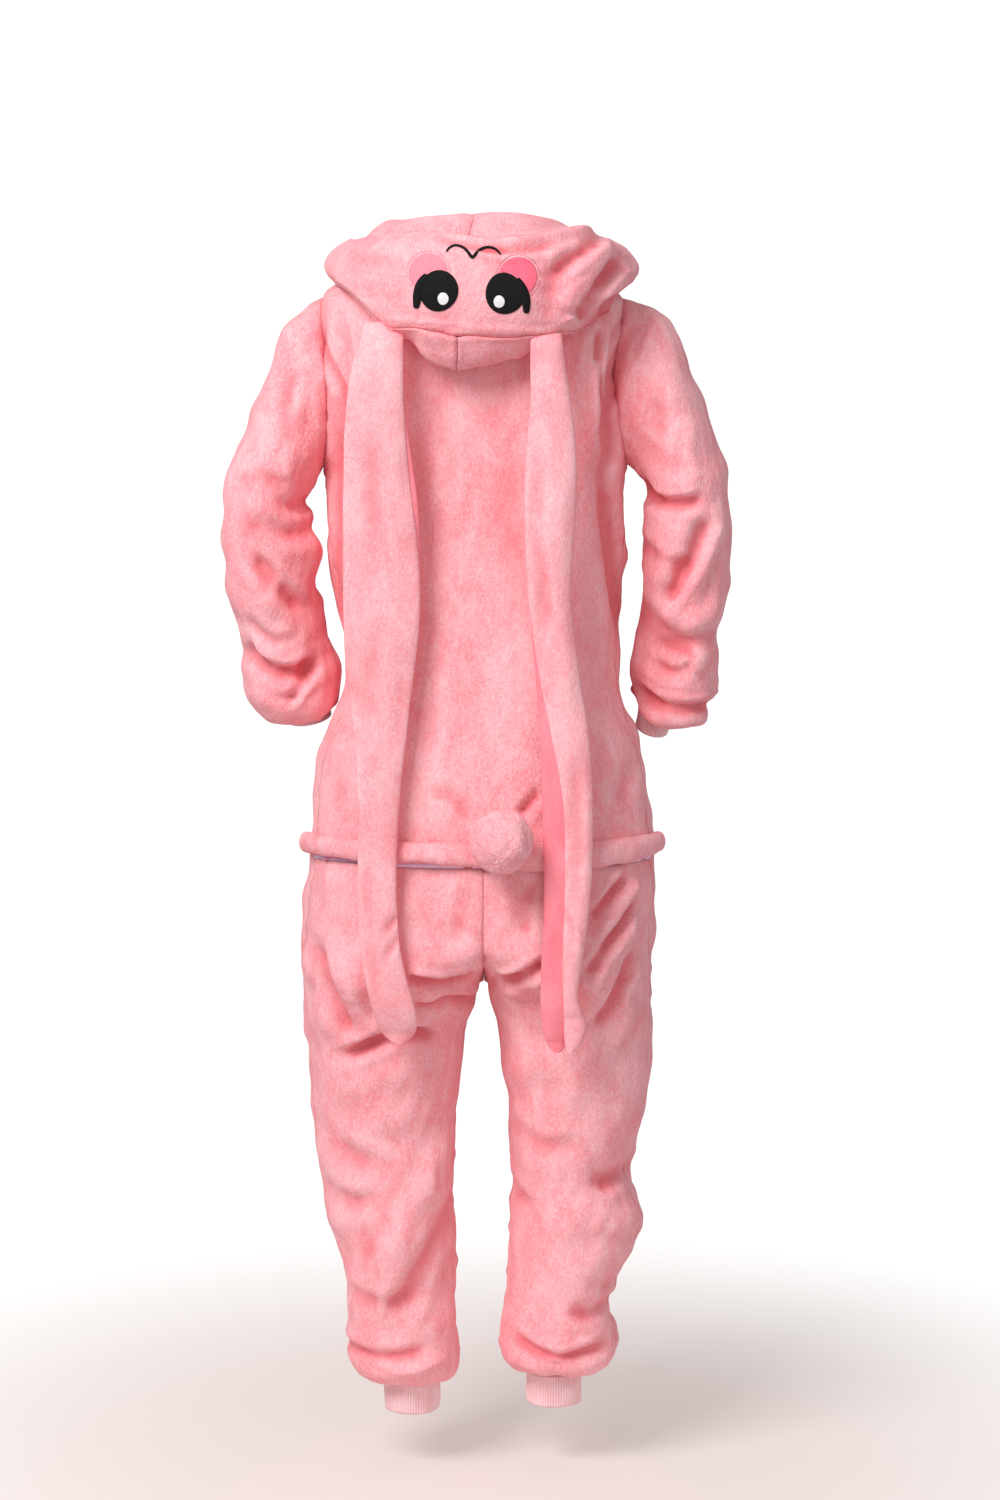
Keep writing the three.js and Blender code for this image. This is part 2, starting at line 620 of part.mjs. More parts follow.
// The hood, laid back: at each angle round the neck, its cloth rises from the neck seam over the nape,
// drops behind the shoulders to the base of the bag, and turns up through the fold that carries the ears
// and over the crown to the rim. Angles are 0 at the back and grow to the wearer's right; the other
// columns are distances from the neck's middle and heights.
const HOOD = table(
  "angle napeR napeZ downR downZ baseR baseZ foldR foldZ crownR crownZ brimR brimZ rimR rimZ",
  [-172, 84, 1370, 96, 1360, 104, 1346, 114, 1343, 119, 1350, 117, 1360, 110, 1366],
  [-150, 88, 1390, 103, 1376, 114, 1358, 126, 1352, 132, 1364, 128, 1378, 118, 1386],
  [-120, 92, 1412, 116, 1392, 136, 1372, 152, 1360, 158, 1374, 152, 1393, 138, 1403],
  [-90, 95, 1420, 124, 1400, 148, 1376, 166, 1356, 172, 1368, 164, 1387, 146, 1398],
  [-65, 92, 1422, 122, 1392, 156, 1356, 176, 1346, 184, 1360, 177, 1386, 156, 1399],
  [-42, 88, 1426, 118, 1378, 156, 1310, 184, 1323, 196, 1352, 190, 1388, 164, 1404],
  [-20, 86, 1430, 117, 1358, 148, 1272, 182, 1298, 195, 1342, 188, 1386, 163, 1404],
  [0, 84, 1432, 118, 1345, 142, 1254, 178, 1290, 192, 1338, 185, 1383, 161, 1400],
  [20, 86, 1431, 118, 1352, 146, 1264, 180, 1288, 194, 1337, 188, 1383, 163, 1403],
  [42, 88, 1426, 118, 1380, 156, 1312, 186, 1303, 197, 1341, 190, 1386, 164, 1406],
  [65, 92, 1422, 122, 1396, 156, 1364, 180, 1342, 187, 1358, 179, 1387, 156, 1401],
  [90, 95, 1420, 124, 1400, 148, 1378, 168, 1358, 176, 1370, 166, 1388, 146, 1398],
  [120, 92, 1412, 116, 1392, 136, 1372, 152, 1360, 158, 1374, 152, 1393, 138, 1403],
  [150, 88, 1390, 103, 1376, 114, 1358, 126, 1352, 132, 1364, 128, 1378, 118, 1386],
  [172, 84, 1370, 96, 1360, 104, 1346, 114, 1343, 119, 1350, 117, 1360, 110, 1366],
);
const HOOD_POINTS = ["nape", "down", "base", "fold", "crown", "brim", "rim"];
const FOLD_LINE = 4; // the ears' seam, counted along the profile from the neck seam
const RIM_LINE = 7;
const HOOD_CENTRE = -2; // the bag of the hood hangs a little to the right of the neck

// The hood's own folds: a slack hollow at the left, and two stacked pleats at the right. Each runs
// from one angle and place on the profile to another.
const HOOD_FOLDS = table(
  "a0 p0 a1 p1 width depth",
  [48, 4.2, 76, 6.0, 8, -8],
  [36, 4.5, 62, 6.6, 8, -7],
  [-60, 4.6, -40, 6.2, 12, -4],
  [-86, 5.4, -60, 5.2, 9, 4],
);

// A point of the hood, at an angle in degrees and a place along its profile.
function hoodPlain(angle, place) {
  const i = placeOf(
    HOOD.map((r) => ({ back: -r.angle })),
    "back",
    -angle,
  );
  const s = sectionAt(HOOD, i);
  const seam = outline(angle < 0 ? -1 : 1, rad(Math.abs(angle) - 90), NECK);
  const radii = [Math.hypot(seam.x - BODY[NECK].lean, seam.y), ...HOOD_POINTS.map((p) => s[p + "R"])];
  const heights = [seam.z + SEAM_GAP * 2, ...HOOD_POINTS.map((p) => s[p + "Z"])];
  const r = smooth(radii, place);
  const turn = rad(angle);
  const centre = mix(BODY[NECK].lean, HOOD_CENTRE, ease(place, 0, FOLD_LINE));
  return new THREE.Vector3(centre + r * Math.sin(turn), -r * Math.cos(turn), smooth(heights, place));
}

// The hood with its folds.
function hood(angle, place) {
  const p = hoodPlain(angle, place);
  let depth = 0;
  for (const f of HOOD_FOLDS) {
    const scale = 18; // one step along the profile counts as this many degrees
    const [dx, dy] = [f.a1 - f.a0, (f.p1 - f.p0) * scale];
    const [px, py] = [angle - f.a0, (place - f.p0) * scale];
    const t = THREE.MathUtils.clamp((px * dx + py * dy) / (dx * dx + dy * dy), 0, 1);
    const away = Math.hypot(px - t * dx, py - t * dy) / f.width;
    depth += f.depth * Math.exp(-away * away);
  }
  if (Math.abs(depth) < 0.01) return p;
  return p.addScaledVector(normalOf(hoodPlain, angle, place, 0.5, 0.02), depth);
}
const hoodNormal = (angle, place) => normalOf(hood, angle, place, 0.5, 0.02);

// A panel of the hood, from a grid of angles and places. toSeam is 1 or -1 where the row at the ears'
// seam is moved along the profile, so as to leave the seam's gap.
function hoodPanel(angles, places, toSeam) {
  const shifted = (angle, place) => {
    if (place !== FOLD_LINE) return place;
    const perStep = hood(angle, place + 0.1 * toSeam).distanceTo(hood(angle, place)) / 0.1;
    return place + (toSeam * HALF_GAP * 1.6) / perStep;
  };
  const layer = (depth) =>
    places.map((place) =>
      angles.map((angle) => hood(angle, shifted(angle, place)).addScaledVector(hoodNormal(angle, place), depth)),
    );
  return wall(layer(0), layer(-HOOD_CLOTH));
}

const HOOD_END = 172; // the hood's front edges, in degrees from the centre back
const NAPE_GAP = 0.2; // half the centre seam, in degrees
const HOOD_COLUMNS = 16; // on each half

// One half of the nape, from the neck seam to the ears' seam.
function hoodNape(side, places) {
  const angles = spread(0, side * HOOD_END, HOOD_COLUMNS);
  angles[0] = side * NAPE_GAP;
  return hoodPanel(angles, spread(0, FOLD_LINE, places), -1);
}

// The crown, which carries the face, from the ears' seam to the rim.
function hoodCrown(places) {
  return hoodPanel(spread(-HOOD_END, HOOD_END, HOOD_COLUMNS * 2 - 1), spread(FOLD_LINE, RIM_LINE, places), 1);
}

// Patches on the crown. A patch is an outline round a middle, in millimetres across and up, moved out
// from the crown's points.
const FACE_PLACE = 5.05;
const PATCH_LIFT = 0.9;
const PATCH = 1;

// The crown's point and normal, from millimetres to the right and up from a middle.
function onCrown(angle, place, across, up) {
  const SMALL_ANGLE = 0.5;
  const SMALL_PLACE = 0.02;
  const wide = hood(angle + SMALL_ANGLE, place).distanceTo(hood(angle, place)) / SMALL_ANGLE;
  const tall = hood(angle, place + SMALL_PLACE).distanceTo(hood(angle, place)) / SMALL_PLACE;
  return [angle + across / wide, place + up / tall];
}

// A flat patch with a rounded outline, from functions of an angle that give its edge.
function patch(angle, place, edge, columns, rings, lift = PATCH_LIFT, thickness = PATCH) {
  const points = [];
  const faces = [];
  const layer = (height) => {
    const first = points.length;
    const put = (across, up) => {
      const [a, p] = onCrown(angle, place, across, up);
      points.push(hood(a, p).addScaledVector(hoodNormal(a, p), height));
    };
    put(0, 0);
    for (let k = 1; k <= rings; k++)
      for (let j = 0; j < columns; j++) {
        const [across, up] = edge((j / columns) * 2 * Math.PI);
        put((across * k) / rings, (up * k) / rings);
      }
    return first;
  };
  const top = layer(lift + thickness);
  const under = layer(lift);
  const id = (first, k, j) => first + 1 + (k - 1) * columns + (j % columns);
  for (let j = 0; j < columns; j++) {
    faces.push(top, id(top, 1, j), id(top, 1, j + 1));
    faces.push(under, id(under, 1, j + 1), id(under, 1, j));
    for (let k = 1; k < rings; k++) {
      faces.push(id(top, k, j), id(top, k + 1, j), id(top, k + 1, j + 1));
      faces.push(id(top, k, j), id(top, k + 1, j + 1), id(top, k, j + 1));
      faces.push(id(under, k, j), id(under, k + 1, j + 1), id(under, k + 1, j));
      faces.push(id(under, k, j), id(under, k, j + 1), id(under, k + 1, j + 1));
    }
    faces.push(id(top, rings, j), id(under, rings, j), id(under, rings, j + 1));
    faces.push(id(top, rings, j), id(under, rings, j + 1), id(top, rings, j + 1));
  }
  return solid(points, faces);
}

const oval = (wide, tall, shiftX = 0, shiftY = 0) => (a) => [shiftX + wide * Math.cos(a), shiftY + tall * Math.sin(a)];

// An eye: a round patch with one lash swept down at its outer side.
function eyeEdge(side) {
  return (a) => {
    const toLash = Math.cos(a - (side < 0 ? rad(212) : rad(-32)));
    const lash = 11 * Math.max(0, toLash) ** 24;
    const [x, y] = oval(22, 23.5)(a);
    return [x + side * lash * 0.35, y - lash];
  };
}

const EYES = table("side angle place", [-1, -15, 4.96], [1, 7.4, 4.92]);
const CHEEK_ACROSS = 13;
const CHEEK_UP = 22;

// Sewn mouth: two arches that meet in a point, as a narrow strip.
const MOUTH = { angle: -2.9, place: 5.86, half: 30, rise: 12, strip: 2.4, lift: 0.4, thickness: 0.9 };
const ARCH_TOP = 0.6; // where each arch is highest, from the middle to its end
function mouth(count) {
  const outer = [];
  const inner = [];
  for (const t of spread(-1, 1, count)) {
    const arch = Math.abs(t);
    const across = MOUTH.half * t;
    const up = MOUTH.rise * (Math.sin((Math.PI / 2) * (arch / ARCH_TOP)) - 0.5);
    const ring = (height) =>
      [MOUTH.strip / 2, -MOUTH.strip / 2].map((w) => {
        const [a, p] = onCrown(MOUTH.angle, MOUTH.place, across, up + w);
        return hood(a, p).addScaledVector(hoodNormal(a, p), height);
      });
    outer.push(ring(MOUTH.lift + MOUTH.thickness));
    inner.push(ring(MOUTH.lift));
  }
  return wall(outer, inner);
}

// The ears: strips that hang from the hood's fold. x and y are the middle of the strip, half its half
// width, puff how full it is, twist its turn about the vertical and curl how far its inner edge is
// folded over, in degrees.
const EAR_COLUMNS = "z x y half puff twist curl";
const EARS = {
  left: table(
    EAR_COLUMNS,
    [1304, -107, -163.4, 18, 1, 12, 0],
    [1262, -113, -161, 22, 3, 10, 0],
    [1226, -114, -160, 25, 5, 8, 0],
    [1160, -112, -157, 27, 5, 6, 0],
    [1080, -107, -154, 29, 5, 5, 0],
    [985, -103, -152, 31, 6, 4, 0],
    [905, -107, -151, 29, 6, 4, 0],
    [825, -114, -151, 27, 6, 3, 0],
    [760, -121, -154, 25, 6, 2, 0],
    [700, -123, -158, 24, 6, 0, 0],
    [630, -116, -164, 24, 6, -4, 0],
    [570, -103, -164, 24, 6, -6, 0],
    [545, -98, -160, 22, 5, -6, 0],
    [530, -96, -157, 16, 3, -6, 0],
    [524, -95, -156, 8, 1, -6, 0],
  ),
  right: table(
    EAR_COLUMNS,
    [1284.5, 68, -173.6, 18, 1, -10, 0],
    [1248, 70, -170, 21, 3, -8, 0],
    [1166, 73, -165, 28, 5, -6, 0],
    [1098, 73, -164, 29, 5, -6, 0],
    [1030, 71, -163, 29, 5, -4, 0],
    [964, 76, -163, 31, 4, 0, 30],
    [914, 84, -163, 32, 2, 4, 80],
    [874, 88, -164, 32, 1.2, 8, 130],
    [810, 88, -166, 32, 0.6, 8, 165],
    [740, 88, -170, 32, 0.4, 6, 178],
    [680, 88, -173, 32, 0.4, 2, 180],
    [620, 84, -177, 31, 0.4, -2, 180],
    [570, 80, -176, 29, 0.4, -6, 180],
    [540, 76, -172, 25, 0.4, -8, 176],
    [522, 72, -168, 17, 0.4, -8, 172],
    [515, 70, -166, 8, 0.4, -8, 168],
  ),
};
const CURL_FROM = -0.62; // the curled share of the strip ends here, counted from -1 at its inner edge
const CURL_TO = 0.02;

// The strip's middle line at a section: its point and the way it faces.
function earLine(s, across) {
  const STEPS = 24;
  const point = new THREE.Vector2();
  const heading = (u) => rad(s.twist) - rad(s.curl) * (1 - ease(u, CURL_FROM, CURL_TO));
  const run = (from, to, into) => {
    for (let i = 0; i < STEPS; i++) {
      const a = heading(mix(from, to, (i + 0.5) / STEPS));
      const step = ((to - from) / STEPS) * s.half;
      into.x += Math.cos(a) * step;
      into.y += Math.sin(a) * step;
    }
  };
  run(0.4, across, point);
  const a = heading(across);
  const middle = new THREE.Vector2();
  run(0.4, 0, middle);
  if (s.curl < 1) point.sub(middle);
  else point.sub(middle.multiplyScalar(1 - s.curl / 180));
  return {
    point: new THREE.Vector3(s.x + point.x, s.y + point.y, s.z),
    facing: new THREE.Vector3(Math.sin(a), -Math.cos(a), 0),
  };
}

// One layer of an ear: the outer cloth on the side that faces back, or the lining on the other.
function earLayer(rows, layer, thickness, columns, count) {
  const EDGE = 0.25; // half the gap between the two layers at their edges
  const outer = [];
  const inner = [];
  for (const at of spread(0, rows.length - 1, count)) {
    const s = sectionAt(rows, at);
    outer.push([]);
    inner.push([]);
    for (const across of columns) {
      const { point, facing } = earLine(s, across);
      const height = EDGE + s.puff * (1 - across * across);
      outer.at(-1).push(point.clone().addScaledVector(facing, layer * (height + thickness)));
      inner.at(-1).push(point.clone().addScaledVector(facing, layer * height));
    }
  }
  return wall(outer, inner);
}

const EAR_ROWS = 18;
const LEFT_EAR_COLUMNS = [-1, -0.72, -0.3, 0.3, 0.72, 1];
const RIGHT_EAR_COLUMNS = [-1, -0.72, -0.54, -0.4, -0.26, -0.12, 0.04, 0.35, 0.72, 1];

// The zip across the seat: the rolled cover over it, the tape that shows under the roll and its slider.
// Each is made from the body's points round the back, moved out. t runs from -1 at the left side seam
// to 1 at the right one.
const ROLL = table(
  "out up",
  [0.6, 25],
  [10, 26],
  [15, 19],
  [15.5, 10],
  [12, 2.5],
  [6.5, 1.5],
);
const ROLL_SAG = table("drop", [0], [-1], [0], [1], [2], [6], [8], [6], [2], [-2]);
const ROLL_ENDS = 3; // the roll reaches this many degrees past the side seams

// A point over the body's back: t across from side to side, height in millimetres above the zip's
// middle, out the distance from the cloth.
function overZip(t, up, out) {
  const side = t < 0 ? -1 : 1;
  const angle = mix(rad(-90), rad(-15), Math.abs(t));
  const middle = smooth(BODY.map((r) => r.side), ZIP);
  const at = placeOf(BODY, "side", middle + up);
  return body(side, angle, at).addScaledVector(plainNormal(side, angle, at), out);
}

// The rolled cover, an open roll of cloth that hangs over the zip from a seam above it.
function zipCover(columns) {
  const outer = [];
  const inner = [];
  const profile = (p) => [smooth(ROLL.map((r) => r.out), p), smooth(ROLL.map((r) => r.up), p)];
  for (const p of spread(0, ROLL.length - 1, ROLL.length)) {
    outer.push([]);
    inner.push([]);
    for (const t of spread(-ROLL_END, ROLL_END, columns)) {
      const sag = smooth(ROLL_SAG.map((r) => r.drop), ((t / ROLL_END + 1) / 2) * (ROLL_SAG.length - 1));
      const [out, up] = profile(p);
      const [out0, up0] = profile(p - 0.05);
      const [out1, up1] = profile(p + 0.05);
      const length = Math.hypot(out1 - out0, up1 - up0);
      const normal = [-(up1 - up0) / length, (out1 - out0) / length];
      const share = p / (ROLL.length - 1);
      outer.at(-1).push(overZip(t, up - sag * share, out));
      inner.at(-1).push(overZip(t, up - sag * share - normal[1] * FLEECE, out - normal[0] * FLEECE));
    }
  }
  return wall(outer, inner);
}
const ROLL_END = 1 + ROLL_ENDS / 75;

// The zip's tape, closed, between the upper back and the seat.
function seatZip(columns) {
  const outer = [];
  const inner = [];
  for (const up of [ZIP_HALF, -ZIP_HALF]) {
    outer.push(spread(-1, 1, columns).map((t) => overZip(t, up, 0.2)));
    inner.push(spread(-1, 1, columns).map((t) => overZip(t, up, 0.2 - TAPE)));
  }
  return wall(outer, inner);
}

// The zip's slider, closed at the left end under the roll.
const SLIDER = { wide: 9, tall: 7, thick: 3, t: -0.86 };
function zipSlider() {
  const shape = new THREE.Shape();
  shape.moveTo(-SLIDER.wide / 2, -SLIDER.tall / 2 + 2);
  shape.lineTo(-SLIDER.wide / 2 + 2, -SLIDER.tall / 2);
  shape.lineTo(SLIDER.wide / 2 - 2, -SLIDER.tall / 2);
  shape.lineTo(SLIDER.wide / 2, -SLIDER.tall / 2 + 2);
  shape.lineTo(SLIDER.wide / 2, SLIDER.tall / 2 - 2);
  shape.lineTo(SLIDER.wide / 2 - 2, SLIDER.tall / 2);
  shape.lineTo(-SLIDER.wide / 2 + 2, SLIDER.tall / 2);
  shape.lineTo(-SLIDER.wide / 2, SLIDER.tall / 2 - 2);
  shape.closePath();
  return new THREE.ExtrudeGeometry(shape, { depth: SLIDER.thick, bevelEnabled: false });
}

// The pompom tail: a plush ball, a little lumpy, seated on the roll.
const TAIL = { radius: 36, x: 20, y: -190.7, z: 742, lumps: 0.03 };
function tail() {
  const ball = new THREE.IcosahedronGeometry(TAIL.radius, 3);
  const p = ball.attributes.position;
  const v = new THREE.Vector3();
  for (let i = 0; i < p.count; i++) {
    v.fromBufferAttribute(p, i).divideScalar(TAIL.radius);
    const lump = Math.sin(4 * v.x + 1) * Math.sin(5 * v.y) * Math.sin(4 * v.z + 2);
    v.multiplyScalar(TAIL.radius * (1 + TAIL.lumps * lump));
    p.setXYZ(i, v.x, v.y, v.z);
  }
  return ball;
}

// The front placket: a narrow strip laid over the centre front, with its buttons on it.
const PLACKET = { half: 17, lift: 1.4, thickness: 2, top: 0.35, end: 15.2 };
const BUTTON = { radius: 10, thick: 3.6, count: 5, gap: 0.35 };

// A point over the centre front, across in millimetres.
function overFront(across, at, out) {
  const side = across < 0 ? -1 : 1;
  const ring = (a) => outline(side, a, at);
  const middle = ring(rad(90));
  let angle = rad(90);
  while (Math.abs(ring(angle).x - middle.x) < Math.abs(across)) angle -= rad(0.05);
  const n = plainNormal(side, angle, at);
  return { point: body(side, angle, at).addScaledVector(n, out), normal: n };
}

function placket(rows) {
  const across = [-PLACKET.half, 0, PLACKET.half];
  const layer = (out) =>
    spread(PLACKET.top, PLACKET.end, rows).map((at) => across.map((x) => overFront(x, at, out).point));
  return wall(layer(PLACKET.lift + PLACKET.thickness), layer(PLACKET.lift));
}

// A button with a raised rim, turned on a lathe.
function button() {
  const { radius, thick } = BUTTON;
  const profile = [
    [0, 0],
    [radius, thick * 0.3],
    [radius * 0.9, thick],
    [radius * 0.64, thick * 0.6],
    [0, thick * 0.6],
  ];
  return new THREE.LatheGeometry(
    profile.map(([r, h]) => new THREE.Vector2(r, h)),
    12,
  );
}

// The materials, with the colours of the garment's cloths
const cloth = (color, roughness = 0.95) => new THREE.MeshStandardMaterial({ color, roughness, metalness: 0 });
const fleecePink = cloth(0xf5a4ac);
const earPink = cloth(0xf98aa3);
const ribPink = cloth(0xf3b9c0);
const black = cloth(0x1d1a1b, 0.7);
const white = cloth(0xf0eff2, 0.6);
const cheekPink = cloth(0xfa6f88, 0.7);
const lilac = cloth(0xd98fc4, 0.6);
const buttonPink = new THREE.MeshStandardMaterial({ color: 0xef8f9c, roughness: 0.35, metalness: 0 });
const nickel = new THREE.MeshStandardMaterial({ color: 0xb9b4b6, roughness: 0.35, metalness: 0.9 });

const onesie = new THREE.Group();
onesie.position.z = -SHOULDER_HEIGHT;
function add(name, geometry, material) {
  const mesh = new THREE.Mesh(geometry, material);
  mesh.name = name;
  onesie.add(mesh);
  return mesh;
}

const SIDES = { left: -1, right: 1 };
add("back", backPanel(10), fleecePink);
for (const [name, side] of Object.entries(SIDES)) {
  add("front_" + name, frontPanel(side, 8), fleecePink);
  add("seat_leg_" + name, seatLeg(side, 10), fleecePink);
  add("sleeve_" + name, sleeve(side, ARMHOLE_STEPS * 2, 19), fleecePink);
  add("wrist_cuff_" + name, wristCuff(side), ribPink);
  add("ankle_cuff_" + name, ankleCuff(side), ribPink);
  add("hood_nape_" + name, hoodNape(side, 9), fleecePink);
}
add("hood_crown", hoodCrown(8), fleecePink);

for (const { side, angle, place } of EYES) {
  const name = side < 0 ? "left" : "right";
  const [cheekAngle, cheekPlace] = onCrown(angle, place, side * CHEEK_ACROSS, CHEEK_UP);
  add("cheek_" + name, patch(cheekAngle, cheekPlace, oval(19, 17), 16, 2), cheekPink);
  const overCheek = PATCH_LIFT + PATCH + 0.3;
  add("eye_" + name, patch(angle, place, eyeEdge(side), 28, 2, overCheek), black);
  const [lightAngle, lightPlace] = onCrown(angle, place, -side * 5, -8);
  add("eye_light_" + name, patch(lightAngle, lightPlace, oval(5.6, 6), 12, 1, overCheek + PATCH + 0.3), white);
}
add("mouth", mouth(17), black);

add("ear_left", earLayer(EARS.left, 1, FLEECE, LEFT_EAR_COLUMNS, EAR_ROWS), fleecePink);
add("ear_lining_left", earLayer(EARS.left, -1, LINING, LEFT_EAR_COLUMNS, EAR_ROWS), earPink);
add("ear_right", earLayer(EARS.right, 1, FLEECE, RIGHT_EAR_COLUMNS, EAR_ROWS), fleecePink);
add("ear_lining_right", earLayer(EARS.right, -1, LINING, RIGHT_EAR_COLUMNS, EAR_ROWS), earPink);

add("zip_cover", zipCover(22), fleecePink);
add("seat_zip", seatZip(22), lilac);
const sliderUp = 0;
const slider = add("seat_zip_slider", zipSlider(), nickel);
const sliderSeat = overZip(SLIDER.t, sliderUp, 0.1);
const sliderAway = overZip(SLIDER.t, sliderUp, 20).sub(sliderSeat).normalize();
slider.position.copy(sliderSeat);
slider.quaternion.setFromUnitVectors(new THREE.Vector3(0, 0, 1), sliderAway);

const pompom = add("tail", tail(), fleecePink);
pompom.position.set(TAIL.x, TAIL.y, TAIL.z);

add("placket", placket(18), fleecePink);
for (let i = 0; i < BUTTON.count; i++) {
  const at = mix(PLACKET.top + 0.7, PLACKET.end - 0.6, i / (BUTTON.count - 1));
  const { point, normal } = overFront(0.01, at, PLACKET.lift + PLACKET.thickness + BUTTON.gap);
  const mesh = add("button_" + (i + 1), button(), buttonPink);
  mesh.position.copy(point);
  mesh.quaternion.setFromUnitVectors(new THREE.Vector3(0, 1, 0), normal);
}

export default onesie;
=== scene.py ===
import logging
import math
from dataclasses import dataclass, replace
from enum import Enum
from typing import Sequence

import bmesh
import bpy
import numpy as np
from bmesh.types import BMesh
from bpy.types import Material, Mesh, NodeSocket, NodeTree, Object, ShaderNode
from mathutils import Matrix, Vector, noise
from mathutils.bvhtree import BVHTree
from mathutils.kdtree import KDTree


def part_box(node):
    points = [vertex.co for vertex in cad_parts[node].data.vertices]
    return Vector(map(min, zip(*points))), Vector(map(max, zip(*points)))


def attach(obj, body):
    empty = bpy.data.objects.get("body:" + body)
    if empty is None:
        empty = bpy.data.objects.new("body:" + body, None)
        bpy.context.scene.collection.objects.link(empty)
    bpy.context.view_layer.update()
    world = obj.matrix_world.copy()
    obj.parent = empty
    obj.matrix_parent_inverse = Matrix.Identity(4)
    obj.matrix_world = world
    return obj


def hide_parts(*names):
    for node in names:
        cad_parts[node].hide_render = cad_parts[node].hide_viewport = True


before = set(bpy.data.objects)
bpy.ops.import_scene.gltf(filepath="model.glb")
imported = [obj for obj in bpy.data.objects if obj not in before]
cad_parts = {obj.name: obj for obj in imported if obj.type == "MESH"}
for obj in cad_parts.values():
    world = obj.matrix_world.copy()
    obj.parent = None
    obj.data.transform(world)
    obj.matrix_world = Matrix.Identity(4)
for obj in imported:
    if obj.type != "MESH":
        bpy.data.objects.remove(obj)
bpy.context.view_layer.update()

LOG = logging.getLogger("onesie")
MM = 0.001
# The floor lies this far below the origin between the shoulders.
SHOULDER_HEIGHT = 1.365
# A crease fades where the cloth turns away from its side: the normal at which it is gone,
# and over how much turning.
FADE_START, FADE_SPAN = 0.33, 0.6
# One flank of a crease is steeper than the other.
FLANKS = (1.15, 0.66)
# How much of its depth a crease has at its ends, and the share of its length to get there.
END_START, END_SHARE = 0.08, 0.3
# Beside a trough the cloth rises, beside a ridge it sinks: how much, how many widths
# away, and how wide.
BESIDE_TROUGH, BESIDE_RIDGE = 0.36, 0.2
BESIDE_AWAY, BESIDE_WIDTH = 1.9, 0.8
# Pairs of triangles up to this skew are joined into one face.
PAIR_SKEW = math.radians(150)
# A mix node's sockets for its two colours, and the one that it gives out.
FROM, TO, MIXED = 6, 7, 2
# Heights between which the legs' slack drops, and how far, left and right, in metres.
KNEE, ANKLE = -0.95, -1.235
LEG_DROP = (0.013, 0.004)
CUFF_DROP = (0.018, 0.010)


class Held(Enum):
    """How a piece of cloth is held in the finished garment."""

    HUNG = "hung"
    GATHERED = "gathered"
    FOLDED = "folded"
    LAID = "laid"
    STRETCHED = "stretched"


class Side(Enum):
    """The side of the garment that a crease lies on."""

    BACK = -1
    FRONT = 1


def linear(colour: str) -> tuple[float, float, float, float]:
    """Turns an sRGB hex colour to linear.

    Args:
        colour: Six hex digits after a hash sign.

    Returns:
        Linear red, green, blue and an alpha of 1.
    """
    parts = [int(colour[i : i + 2], 16) / 255 for i in (1, 3, 5)]
    red, green, blue = (
        c / 12.92 if c <= 0.04045 else ((c + 0.055) / 1.055) ** 2.4 for c in parts
    )
    return red, green, blue, 1.0


def ease(value: np.ndarray) -> np.ndarray:
    """Smooth step from 0 to 1, clamped."""
    value = np.clip(value, 0.0, 1.0)
    return value * value * (3 - 2 * value)


def smooth_line(points: Sequence[Sequence[float]], steps: int = 5) -> np.ndarray:
    """Draws a soft curve through a few points.

    Args:
        points: Points of the line, two or three numbers each.
        steps: How many short pieces each stretch is cut into.

    Returns:
        The points of the curve, one row each.
    """
    p = np.array(points, dtype=float)
    p = np.vstack([2 * p[0] - p[1], p, 2 * p[-1] - p[-2]])
    out = []
    for i in range(1, len(p) - 2):
        a, b, c, d = p[i - 1], p[i], p[i + 1], p[i + 2]
        for t in np.arange(steps) / steps:
            out.append(
                0.5
                * (2 * b + (c - a) * t + (2 * a - 5 * b + 4 * c - d) * t**2
                   + (3 * b - a - 3 * c + d) * t**3)
            )
    out.append(p[-2])
    return np.array(out)


# ---------- cloth shapes


@dataclass(frozen=True)
class Swell:
    """Slow uneven rise and fall of hanging cloth, as seeded waves.

    size is the usual length of a wave and height its usual height, in metres.
    """

    seed: int
    size: float
    height: float
    stretch: tuple[float, float, float] = (1.0, 1.0, 0.5)
    waves: int = 16

    def at(self, points: np.ndarray) -> np.ndarray:
        """Height of the waves.

        Args:
            points: Places in the row frame, one row each.

        Returns:
            One height for each place, in metres.
        """
        rng = np.random.default_rng(self.seed)
        way = rng.normal(size=(self.waves, 3))
        way /= np.linalg.norm(way, axis=1)[:, None]
        way *= (2 * math.pi / (self.size * rng.uniform(0.7, 1.6, self.waves)))[:, None]
        phase = rng.uniform(0, 2 * math.pi, self.waves)
        total = np.sin(points * np.array(self.stretch) @ way.T + phase).sum(axis=1)
        return self.height * total / math.sqrt(self.waves / 2)


